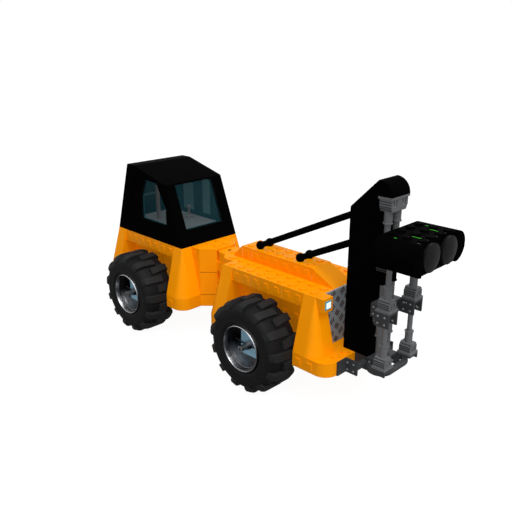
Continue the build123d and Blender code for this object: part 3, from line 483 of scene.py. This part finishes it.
# the carcass: rise from the bead or drop from the crown in millimetres, share of the half width
SIDEWALL = ((0, 0.86), (0.5, 0.90), (1.5, 0.96), (2.6, 0.995), (2.9, 0.985), (4.5, 1), (6.5, 1))
SHOULDER = ((3.4, 0.98), (2.0, 0.91), (0.9, 0.78), (0.3, 0.55), (0, 0.2))
SEGMENTS_A_LUG = 8

# along a lug: share of the half width, share of the way from the bead to the lug's top
LUG_SHARES = ((0.90, 0.60), (0.99, 0.66), (0.965, 0.80), (0.90, 0.90), (0.74, 0.97),
              (0.60, 1.00), (0.20, 1.00), (-0.24, 1.00), (-0.26, 0.97))
# a lug's half width at its foot, under its bevel and on top, as shares of its width
FOOT_SHARE, EDGE_SHARE, TOP_SHARE = 0.56, 0.50, 0.44
# its bevel, its least depth, and how far its foot sinks under the crown, in millimetres
LUG_BEVEL = 0.3
LUG_THIN = 0.4
LUG_ROOT = 1.6
# past this share of the half width it hangs down the sidewall, where its foot lies this share
# of its rise deeper
HANG_FROM_SHARE = 0.85
HANG_DEEP_SHARE = 0.14


def carcass_shape(wheels):
    """A balloon carcass with a line round its shoulder."""
    wall = [(wheels.bead + rise * MM, share * wheels.half) for rise, share in SIDEWALL]
    wall += [(wheels.crown - drop * MM, share * wheels.half) for drop, share in SHOULDER]
    outline = [(r, -y) for r, y in wall] + [(r, y) for r, y in reversed(wall)]
    return lathe(outline, SEGMENTS_A_LUG * wheels.lugs)


def lug_shape(wheels, turn, way):
    """One block lug across half of the tread, its outer end stepped down the sidewall."""
    span = wheels.lug_top - wheels.bead
    points, faces = [], []
    for across, up in LUG_SHARES:
        y = across * wheels.half
        top = wheels.bead + up * span
        edge = top - LUG_BEVEL * MM
        if across > HANG_FROM_SHARE:
            foot = wheels.bead + (up - HANG_DEEP_SHARE) * span
            y_foot = y - LUG_ROOT * MM
        else:
            foot = min(top - LUG_THIN * MM, wheels.crown - LUG_ROOT * MM)
            y_foot = y
        slant = (wheels.half - y) * math.tan(wheels.lean)
        rows = ((foot, FOOT_SHARE, y_foot), (edge, EDGE_SHARE, y), (top, TOP_SHARE, y),
                (top, -TOP_SHARE, y), (edge, -EDGE_SHARE, y), (foot, -FOOT_SHARE, y_foot))
        for radius, wide, reach in rows:
            spin = turn + (slant + wide * wheels.lug_wide) / wheels.lug_top
            points.append((radius * math.cos(spin), way * reach, -radius * math.sin(spin)))
    ring = len(rows)
    for k in range(len(LUG_SHARES) - 1):
        for j in range(ring):
            a, b = k * ring + j, k * ring + (j + 1) % ring
            faces.append((a, b, b + ring, a + ring))
    faces.append(tuple(range(ring - 1, -1, -1)))
    faces.append(tuple(range(len(points) - ring, len(points))))
    return points, faces if way < 0 else turned_inside_out(faces)


def lugs_shape(wheels):
    """Two interleaved rows of block lugs."""
    step = math.pi / wheels.lugs
    return joined([lug_shape(wheels, (k + 0.5) * step, 1 if k % 2 else -1)
                   for k in range(2 * wheels.lugs)])


class CARRIER_OT_tyres(bpy.types.Operator):
    """Make the four lugged tyres"""

    bl_idname = "carrier.tyres"
    bl_label = "Lugged tyres"

    def execute(self, context):
        wheels = context.scene.carrier_wheels
        # the lugs wear rubber painted paler than the carcass: a painted highlight
        kinds = (("tyre_carcass_", carcass_shape(wheels), "moulded tyre rubber"),
                 ("tyre_lugs_", lugs_shape(wheels), "tread rubber with painted highlight"))
        for end in ENDS:
            for name, side in SIDES:
                for kind, shape, finish in kinds:
                    made = piece_of(kind + end + "_" + name,
                                    placed(shape, wheel_centre(end, name), side), finish,
                                    "wheel_" + end + "_" + name)
                    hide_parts("tyre_" + end + "_" + name)
        return {"FINISHED"}


# the rim's outlines: depth under its lip in millimetres, share of the half width
BAND = ((0, 0.4), (0, 0.955), (0.15, 0.985), (0.4, 1), (0.7, 0.985), (0.85, 0.95), (1.25, 0.78),
        (1.35, 0.74), (1.3, 0.70), (0.9, 0.4))
BARREL = ((0, -0.9), (0, 0.39), (0.95, 0.39), (1.32, 0.69), (1.45, 0.735), (1.65, 0.75),
          (1.9, 0.735), (2.0, 0.70), (2.1, 0.62), (2.25, 0.60), (2.35, 0.3), (2.35, -0.55),
          (1.2, -0.86), (0.9, -0.9))
RIM_SEGMENTS = 96

# the hub's outline: radius in millimetres, share of the half width
COLLAR = ((1.86, 0.302), (2.6, 0.302), (2.6, 0.40), (2.3, 0.42), (2.3, 0.54), (2.15, 0.555),
          (1.86, 0.555))
COLLAR_SEGMENTS = 48
# its two arms: what they leave free at each end, half of their width, and their ends along y as
# shares of the half width
ARM_ROOT = 2.2
ARM_HALF = 0.4
ARM_SHARES = (0.302, 0.40)

# the cross on the end of a pin: how far in from the rim's lip, half of its length, the width of
# its bars and how proud they stand
CROSS_IN = 0.4
CROSS_HALF = 1.3
CROSS_WIDE = 0.7
CROSS_PROUD = 0.2


def dish_shape(wheels, profile):
    """A ring of the rim, turned from one of its outlines."""
    outline = [(wheels.rim - deep * MM, share * wheels.half) for deep, share in profile]
    return lathe(outline[::-1], RIM_SEGMENTS)


def hub_shape(wheels):
    """A short collar round the axle with two slim arms to the barrel."""
    outline = [(radius * MM, share * wheels.half) for radius, share in COLLAR]
    near, far, half = ARM_ROOT * MM, wheels.rim - ARM_ROOT * MM, ARM_HALF * MM
    low, high = (share * wheels.half for share in ARM_SHARES)
    return joined([lathe(outline[::-1], COLLAR_SEGMENTS),
                   box((-far, low, -half), (-near, high, half)),
                   box((near, low, -half), (far, high, half))])


class CARRIER_OT_rims(bpy.types.Operator):
    """Make the four plated rims and their hubs"""

    bl_idname = "carrier.rims"
    bl_label = "Plated rims"

    def execute(self, context):
        wheels = context.scene.carrier_wheels
        kinds = (("rim_band_", dish_shape(wheels, BAND), "plated chrome with painted reflection"),
                 ("rim_barrel_", dish_shape(wheels, BARREL), "shaded plated barrel"),
                 ("hub_", hub_shape(wheels), "shaded plated barrel"))
        for end in ENDS:
            crosses = []
            for name, side in SIDES:
                centre = Vector(wheel_centre(end, name))
                for kind, shape, finish in kinds:
                    made = piece_of(kind + end + "_" + name, placed(shape, centre, side), finish,
                                    "wheel_" + end + "_" + name)
                    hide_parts("rim_" + end + "_" + name)
                tip = centre + Vector((0, side * (wheels.half - CROSS_IN * MM), 0))
                for run in (Vector((CROSS_HALF * MM, 0, 0)), Vector((0, 0, CROSS_HALF * MM))):
                    crosses.append(strip(tip - run, tip + run, (0, side, 0), CROSS_WIDE,
                                         CROSS_PROUD))
            piece_of("pin_crosses_" + end, joined(crosses), "plated chrome with painted reflection",
                     end + "_module")
        return {"FINISHED"}


# the tread plate: groups of slanted bars half a cell apart, with every other place left bare
SHEET_T = 1.1
GROUPS_EACH_WAY = 8
BARS_IN_GROUP = 3
# on y and z: the step from one bar to the next, and half of a bar's length
BAR_STEP = (1.0, 0.75)
BAR_RUN = (0.78, 1.3)
BAR_WIDE = 0.5
BAR_PROUD = 0.25


class CARRIER_OT_grille(bpy.types.Operator):
    """Make the tread plate of the grille with its slanted bars"""

    bl_idname = "carrier.grille"
    bl_label = "Tread-plate grille"

    def execute(self, context):
        low, high = (Vector(corner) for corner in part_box("grille"))
        face = low.x + SHEET_T * MM
        made = piece_of("grille_plate", box(low, (face, high.y, high.z)), "printed tread plate",
                        "front_module")
        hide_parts("grille")
        parts = []
        pitch = CELL * MM / 2
        for row in range(GROUPS_EACH_WAY):
            for col in range(row % 2, GROUPS_EACH_WAY, 2):
                lean = 1 if col % 2 else -1
                middle = Vector((face, low.y + (col + 0.5) * pitch, low.z + (row + 0.5) * pitch))
                step = Vector((0, BAR_STEP[0] * MM, lean * BAR_STEP[1] * MM))
                run = Vector((0, BAR_RUN[0] * MM, -lean * BAR_RUN[1] * MM))
                for k in range(BARS_IN_GROUP):
                    at = middle + (k - (BARS_IN_GROUP - 1) / 2) * step
                    parts.append(strip(at - run, at + run, (1, 0, 0), BAR_WIDE, BAR_PROUD))
        piece_of("grille_bars", joined(parts), "printed tread bars", "front_module")
        return {"FINISHED"}


LENS_SLOPE = 0.25
# the cores are painted near white and glow: a painted highlight
# each layer of a lens: piece, finish, share of the imported lens, how far behind its front
LENS_LAYERS = (("lamp_lens_rims", "cyan tinted lens edge", 0.92, 0.2),
               ("lamp_lens_cores", "lens with painted glow", 0.66, 0))


def lens_shape(back, front, y, z, half):
    """A square lens that looks along x, with sloped front edges."""
    slope = LENS_SLOPE * MM
    corners = ((1, 1), (-1, 1), (-1, -1), (1, -1))
    points = [(x, y + a * reach, z + b * reach)
              for x, reach in ((back, half), (front - slope, half), (front, half - slope))
              for a, b in corners]
    count = len(corners)
    faces = [(3, 2, 1, 0), (8, 9, 10, 11)]
    for ring in (0, count):
        faces += [(ring + k, ring + (k + 1) % count, ring + count + (k + 1) % count,
                   ring + count + k) for k in range(count)]
    return points, faces


class CARRIER_OT_lamps(bpy.types.Operator):
    """Make the two lamp lenses with their tinted rims"""

    bl_idname = "carrier.lamps"
    bl_label = "Lamp lenses"

    def execute(self, context):
        low, high = (Vector(corner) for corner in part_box("lamp_lenses"))
        half = (high.z - low.z) / 2
        z = (low.z + high.z) / 2
        for name, finish, share, behind in LENS_LAYERS:
            parts = [lens_shape(low.x, high.x - behind * MM, side * (high.y - half), z,
                                share * half) for side in (1, -1)]
            made = piece_of(name, joined(parts), finish, "front_module")
            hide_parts("lamp_lenses")
        return {"FINISHED"}


# a rivet's cap: radius and lift of each ring, in millimetres
CAP_RINGS = ((0.62, -SINK), (0.62, 0.05), (0.5, 0.2), (0.28, 0.3))
CAP_SIDES = 10
# how far a rivet's end stands from the middle of its plate, and where rivets sit along a plate
RIVET_OUT = CHEEK_T / 2 + 0.4
RIVET_SHARES = (0.25, 0.75)
# the plates on each body: ends along x, ends along z, and the middle of the plate on y
PLATES = {
    "front_module": ((MAST_FRONT, HEAD_REAR, SLAB_LOW + PLATE_TRIM, SLAB_TOP, MAST_HALF),
                     (FRONT_END, FRONT_END + CELL, SLAB_LOW, SLAB_TOP, CORE_HALF + CHEEK_T / 2)),
    "head": ((MAST_FRONT + MAST_AIR, HEAD_REAR, -HANGER_H, 0, MAST_HALF),
             (HEAD_REAR, HEAD_REAR + CELL, -HANGER_H, 0, MAST_HALF),
             (HEAD_REAR, HEAD_REAR + CELL, -HANGER_H, 0, CORE_HALF - CHEEK_T / 2)),
}


def cap_shape(centre, side):
    """A low domed rivet cap that looks along y to the given side."""
    points = []
    for radius, lift in CAP_RINGS:
        for k in range(CAP_SIDES):
            turn = 2 * math.pi * k / CAP_SIDES
            points.append((centre[0] + radius * MM * math.cos(turn), centre[1] + side * lift * MM,
                           centre[2] + radius * MM * math.sin(turn)))
    faces = []
    for j in range(len(CAP_RINGS) - 1):
        here, there = j * CAP_SIDES, (j + 1) * CAP_SIDES
        faces += [(here + k, here + (k + 1) % CAP_SIDES, there + (k + 1) % CAP_SIDES, there + k)
                  for k in range(CAP_SIDES)]
    faces.append(tuple(range(len(points) - CAP_SIDES, len(points))))
    return points, faces if side < 0 else turned_inside_out(faces)


class CARRIER_OT_rivets(bpy.types.Operator):
    """Put a domed cap on each rivet of the plates"""

    bl_idname = "carrier.rivets"
    bl_label = "Rivet caps"

    def execute(self, context):
        for body, plates in PLATES.items():
            parts = []
            for x0, x1, z0, z1, y in plates:
                spots = [(x0 + a * (x1 - x0), z0 + b * (z1 - z0))
                         for a in RIVET_SHARES for b in RIVET_SHARES]
                for side in (1, -1):
                    for face in (1, -1):
                        parts += [cap_shape(deck(x, side * y + face * RIVET_OUT, z), face)
                                  for x, z in spots]
            # the caps are painted lighter than their plates: a painted highlight
            piece_of("rivet_caps_" + body, joined(parts), "grey ABS with painted highlight", body)
        return {"FINISHED"}


# the sockets' heights, the rim at their foot, how far their sides stand back from it, and how
# far their tops lean in above the shoulder
SOCKET_H = 6.6
DEEP_SOCKET_H = 7.6
SOCKET_RIM = 1.2
SOCKET_AIR = 0.6
SOCKET_TAPER = 1.3
SOCKET_RIBS = 4
SHOULDER_SHARE = 0.6
MOVING_LONG = CELL - 2 * MAST_AIR
GUIDE_WIDE = 2 * MAST_HALF
GROOVE_WIDE = 0.55
GROOVE_PROUD = 0.02


class CARRIER_OT_grooves(bpy.types.Operator):
    """Shade the ribbed grooves on the sides of the sockets"""

    bl_idname = "carrier.grooves"
    bl_label = "Socket grooves"

    def execute(self, context):
        nose = (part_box("nose_bracket")[1][2] - deck(0, 0, 0).z) / MM
        # each socket: middle on x and y, foot on z, length, width, height, and 1 if it stands
        sockets = {
            "front_module": ((LEG_X, LEG_Y, SLAB_TOP, CELL, CELL, SOCKET_H, 1),
                             (LEG_X, -LEG_Y, SLAB_TOP, CELL, CELL, SOCKET_H, 1),
                             (POST_X, 0, nose, CELL, GUIDE_WIDE, DEEP_SOCKET_H, -1)),
            "head": ((LEG_X, LEG_Y, 0, CELL, CELL, SOCKET_H, 1),
                     (LEG_X, -LEG_Y, 0, CELL, CELL, SOCKET_H, 1),
                     (POST_X, 0, HEAD_LOW, MOVING_LONG, GUIDE_WIDE, DEEP_SOCKET_H, -1),
                     (POST_X, 0, SOCKET_RIM - HANGER_H, MOVING_LONG, GUIDE_WIDE - CHEEK_T,
                      SOCKET_H, -1)),
        }
        for body, held in sockets.items():
            parts = []
            for x, y, foot, long, wide, high, way in held:
                reach, half = long / 2 - SOCKET_AIR, wide / 2 - SOCKET_AIR
                ribbed = high - SOCKET_RIM
                shoulder = SOCKET_RIM + SHOULDER_SHARE * ribbed
                for k in range(1, SOCKET_RIBS + 1):
                    z = SOCKET_RIM + k * ribbed / (SOCKET_RIBS + 1)
                    lean = max(0, z - shoulder) / (high - shoulder) * SOCKET_TAPER
                    for side in (1, -1):
                        ends = [deck(x + run * reach, y + side * (half - lean), foot + way * z)
                                for run in (-1, 1)]
                        parts.append(strip(*ends, (0, side, 0), GROOVE_WIDE, GROOVE_PROUD))
            piece_of("socket_grooves_" + body, joined(parts), "shaded groove in ABS", body)
        return {"FINISHED"}


# lit edges of the spine: place along x in cells and top in millimetres, then the spine's side and
# the foot of the edges
SPINE_EDGES = ((0.05, 7.4), (1.09, 7.4), (7.03, 4.2))
SPINE_FACE = 8.4
SPINE_FOOT = 0.6
# lit edges on the sides of the decks: places in cells, ends on z in millimetres
DECK_EDGES = {"front": (3, 6), "rear": (-11, -8)}
DECK_EDGE_ENDS = (-7.8, -0.4)
EDGE_WIDE = 0.35
# dark seams on the slanted faces of the rear nose: their ends on x and y, and their heights
NOSE_SEAM_ENDS = ((-4 * CELL, CORE_HALF), (-3 * CELL, MAST_HALF))
NOSE_SEAM_HEIGHTS = (-2 * CELL, SLAB_TOP + 0.2)
SEAM_WIDE = 0.4
LINE_PROUD = 0.04


def deck_edges(end, side):
    """The lit edges on one side of one deck."""
    ends = DECK_EDGE_ENDS
    return [strip(deck(x * CELL, side * DECK_HALF, ends[0]),
                  deck(x * CELL, side * DECK_HALF, ends[1]), (0, side, 0), EDGE_WIDE, LINE_PROUD)
            for x in DECK_EDGES[end]]


class CARRIER_OT_seams(bpy.types.Operator):
    """Draw the seams and lit edges between the bricks"""

    bl_idname = "carrier.seams"
    bl_label = "Brick seams"

    def execute(self, context):
        front, rear, dark = [], [], []
        for side in (1, -1):
            front += [strip(deck(x * CELL, side * SPINE_FACE, SPINE_FOOT),
                            deck(x * CELL, side * SPINE_FACE, top), (0, side, 0), EDGE_WIDE,
                            LINE_PROUD) for x, top in SPINE_EDGES]
            front += deck_edges("front", side)
            rear += deck_edges("rear", side)
            for z in NOSE_SEAM_HEIGHTS:
                ends = [deck(x, side * y, z) for x, y in NOSE_SEAM_ENDS]
                dark.append(strip(*ends, (1, side, 0), SEAM_WIDE, LINE_PROUD))
        for name, parts, body, finish in (
            ("dark_seams_rear", dark, "rear_module", "shaded seam in ABS"),
            ("lit_edges_front", front, "front_module", "lit brick edge in ABS"),
            ("lit_edges_rear", rear, "rear_module", "lit brick edge in ABS"),
        ):
            piece_of(name, joined(parts), finish, body)
        return {"FINISHED"}


# printed lines on the head: start and end on x and place on y, in cells
PRINTS = {
    "green": ((14.55, 15.35, -1.02), (14.55, 15.35, 0.98), (13.95, 14.15, -2.0),
              (13.95, 14.15, 1.55)),
    "white": ((15.35, 15.62, -1.02), (15.35, 15.62, 0.98), (15.45, 15.65, -1.95),
              (15.45, 15.65, -0.02)),
}
PRINT_FINISHES = {"green": "green pad print", "white": "grey-white pad print"}
PRINT_WIDE = 0.3
PRINT_PROUD = 0.05


class CARRIER_OT_prints(bpy.types.Operator):
    """Draw the short printed lines on the tool head"""

    bl_idname = "carrier.prints"
    bl_label = "Head print"

    def execute(self, context):
        for shade, lines in PRINTS.items():
            parts = [strip(deck(x0 * CELL, y * CELL, HEAD_TOP), deck(x1 * CELL, y * CELL, HEAD_TOP),
                           (0, 0, 1), PRINT_WIDE, PRINT_PROUD) for x0, x1, y in lines]
            piece_of("head_lines_" + shade, joined(parts), PRINT_FINISHES[shade], "head")
        return {"FINISHED"}


# upright ribs on the lining's left wall: ends on x and ends on z, in cells
WALL_RIBS = ((-11.4, -10.0, 1.3, 3.8), (-8.7, -7.7, 1.3, 4.5))
# one level rib on its rear wall: ends on y in cells, height and width in millimetres
REAR_RIB_ENDS = (-1.7, 1.4)
REAR_RIB_Z = 23.2
REAR_RIB_WIDE = 1.6
# that wall leans forward by a share of the cab's length over the cab's height
CAB_LONG = 9 * CELL
CAB_HIGH = 6 * CELL
REAR_LEAN = 0.217 * CAB_LONG / CAB_HIGH
LINING_FOOT = 7
LINING_T = 1.0
RIB_AIR = 0.05
RIB_PROUD = 0.15


class CARRIER_OT_cab_ribs(bpy.types.Operator):
    """Lay the pale ribs on the inside of the cab's lining"""

    bl_idname = "carrier.cab_ribs"
    bl_label = "Lining ribs"

    def execute(self, context):
        low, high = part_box("cab_lining")
        wall = high[1] / MM - LINING_T
        parts = []
        for x0, x1, z0, z1 in WALL_RIBS:
            middle = (x0 + x1) / 2 * CELL
            parts.append(strip(deck(middle, wall, z0 * CELL), deck(middle, wall, z1 * CELL),
                               (0, -1, 0), (x1 - x0) * CELL, RIB_PROUD))
        back = low[0] + (REAR_LEAN * (REAR_RIB_Z - LINING_FOOT) + LINING_T + RIB_AIR) * MM
        z = deck(0, 0, REAR_RIB_Z).z
        ends = [Vector((back, y * CELL * MM, z)) for y in REAR_RIB_ENDS]
        parts.append(strip(*ends, (1, 0, -REAR_LEAN), REAR_RIB_WIDE, RIB_PROUD))
        # the ribs are painted paler than the lining: a painted sheen
        piece_of("lining_ribs", joined(parts), "tinted styrene with painted sheen", "rear_module")
        return {"FINISHED"}


# the photograph's camera: turn and rise in degrees, place in metres, lens and sensor in mm
CAMERA_TURN = 45.01
CAMERA_RISE = 19.33
CAMERA_AT = (0.255222, -0.255493, 0.190446)
LENS = 43.098
SENSOR = 36
# where the sun lamps stand, seen from the object
HIGH_SUN = (0.45, -0.10, 0.78)
SIDE_SUN = (0.35, -1.0, 0.45)
FLOOR_REACH = 60.0


def studio_paper(studio):
    """Matte paper that the camera sees nearly white, with the object's shadow on it."""
    paper, shader = surface("matte studio paper", studio.floor, Roughness=0.9, IOR=1.45,
                            Specular_IOR_Level=0.1)
    tree = paper.node_tree
    path = node(tree, "ShaderNodeLightPath")
    faint = node(tree, "ShaderNodeBsdfDiffuse", inputs={"Color": (0.16, 0.16, 0.16, 1)})
    glow = node(tree, "ShaderNodeEmission", inputs={"Color": (1, 1, 1, 1), "Strength": 0.9})
    seen = node(tree, "ShaderNodeAddShader", [(0, faint.outputs[0]), (1, glow.outputs[0])])
    mixed = node(tree, "ShaderNodeMixShader", [(0, path.outputs["Is Camera Ray"]),
                                               (1, shader.outputs[0]), (2, seen.outputs[0])])
    tree.links.new(tree.nodes["Material Output"].inputs["Surface"], mixed.outputs[0])
    return paper


def studio_sky(studio):
    """An even sky that the camera, mirrors and glass see white."""
    world = bpy.data.worlds.new("studio_sky")
    world.use_nodes = True
    tree = world.node_tree
    tree.nodes.clear()
    path = node(tree, "ShaderNodeLightPath")
    seen = node(tree, "ShaderNodeMath", [(0, path.outputs["Is Camera Ray"]),
                                         (1, path.outputs["Is Glossy Ray"])], operation="MAXIMUM")
    clear = node(tree, "ShaderNodeMath", [(0, seen.outputs[0]),
                                          (1, path.outputs["Is Transmission Ray"])],
                 operation="MAXIMUM")
    lit, shown = (node(tree, "ShaderNodeBackground",
                       inputs={"Color": (1, 1, 1, 1), "Strength": strength})
                  for strength in (studio.sky, 1.0))
    mixed = node(tree, "ShaderNodeMixShader", [(0, clear.outputs[0]), (1, lit.outputs[0]),
                                               (2, shown.outputs[0])])
    node(tree, "ShaderNodeOutputWorld", [("Surface", mixed.outputs[0])])
    return world


def place_camera(camera):
    """Stands the camera at the photograph's angle."""
    turn, rise = math.radians(CAMERA_TURN), math.radians(CAMERA_RISE)
    back = Vector((math.sin(turn) * math.cos(rise), -math.cos(turn) * math.cos(rise),
                   math.sin(rise)))
    right = Vector((math.cos(turn), math.sin(turn), 0))
    up = back.cross(right)
    camera.matrix_world = Matrix((
        (right.x, up.x, back.x, CAMERA_AT[0]),
        (right.y, up.y, back.y, CAMERA_AT[1]),
        (right.z, up.z, back.z, CAMERA_AT[2]),
        (0, 0, 0, 1),
    ))


class CARRIER_OT_studio(bpy.types.Operator):
    """Set up the floor, the soft light and the camera"""

    bl_idname = "carrier.studio"
    bl_label = "Set up the studio"

    def execute(self, context):
        studio = context.scene.carrier_studio
        floor_mesh = bpy.data.meshes.new("studio_floor")
        corners = ((-1, -1), (1, -1), (1, 1), (-1, 1))
        floor_mesh.from_pydata([(x * FLOOR_REACH, y * FLOOR_REACH, 0) for x, y in corners], [],
                               [(0, 1, 2, 3)])
        floor = bpy.data.objects.new("studio_floor", floor_mesh)
        context.scene.collection.objects.link(floor)
        wear(floor, studio_paper(studio))
        context.scene.world = studio_sky(studio)
        for name, place, soft, strength, shadow in (
            ("key_light", HIGH_SUN, 22, studio.key, True),
            ("front_light", HIGH_SUN, 60, studio.front, False),
            ("fill_light", SIDE_SUN, 60, studio.fill, False),
        ):
            lamp = bpy.data.lights.new(name, "SUN")
            lamp.angle = math.radians(soft)
            lamp.energy = strength
            lamp.use_shadow = shadow
            held = bpy.data.objects.new(name, lamp)
            held.rotation_euler = (-Vector(place)).to_track_quat("-Z", "Y").to_euler()
            context.scene.collection.objects.link(held)
        lens = bpy.data.cameras.new("photo_camera")
        lens.sensor_width = SENSOR
        lens.lens = LENS
        camera = bpy.data.objects.new("photo_camera", lens)
        place_camera(camera)
        context.scene.collection.objects.link(camera)
        context.scene.camera = camera
        context.scene.view_settings.view_transform = "Standard"
        return {"FINISHED"}


class CARRIER_PT_build(bpy.types.Panel):
    """Lists the carrier's sizes, colours and steps in the sidebar"""

    bl_label = "Brick mast carrier"
    bl_idname = "CARRIER_PT_build"
    bl_space_type = "VIEW_3D"
    bl_region_type = "UI"
    bl_category = "Mast carrier"

    def draw(self, context):
        scene = context.scene
        for group in (scene.carrier_plastics, scene.carrier_wheels, scene.carrier_studio):
            for name in group.__annotations__:
                self.layout.prop(group, name)
        for step in STEPS:
            self.layout.operator(step.bl_idname)


STEPS = (CARRIER_OT_plastics, CARRIER_OT_tyres, CARRIER_OT_rims, CARRIER_OT_grille,
         CARRIER_OT_lamps, CARRIER_OT_rivets, CARRIER_OT_grooves, CARRIER_OT_seams,
         CARRIER_OT_prints, CARRIER_OT_cab_ribs, CARRIER_OT_studio)
CLASSES = (CarrierPlastics, CarrierWheels, CarrierStudio, *STEPS, CARRIER_PT_build)


def register():
    for made in CLASSES:
        bpy.utils.register_class(made)
    bpy.types.Scene.carrier_plastics = PointerProperty(type=CarrierPlastics)
    bpy.types.Scene.carrier_wheels = PointerProperty(type=CarrierWheels)
    bpy.types.Scene.carrier_studio = PointerProperty(type=CarrierStudio)


def unregister():
    del bpy.types.Scene.carrier_studio
    del bpy.types.Scene.carrier_wheels
    del bpy.types.Scene.carrier_plastics
    for made in reversed(CLASSES):
        bpy.utils.unregister_class(made)


def main():
    """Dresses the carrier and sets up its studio."""
    register()
    bpy.ops.carrier.plastics()
    bpy.ops.carrier.tyres()
    bpy.ops.carrier.rims()
    bpy.ops.carrier.grille()
    bpy.ops.carrier.lamps()
    bpy.ops.carrier.rivets()
    bpy.ops.carrier.grooves()
    bpy.ops.carrier.seams()
    bpy.ops.carrier.prints()
    bpy.ops.carrier.cab_ribs()
    bpy.ops.carrier.studio()


if __name__ == "__main__":
    main()
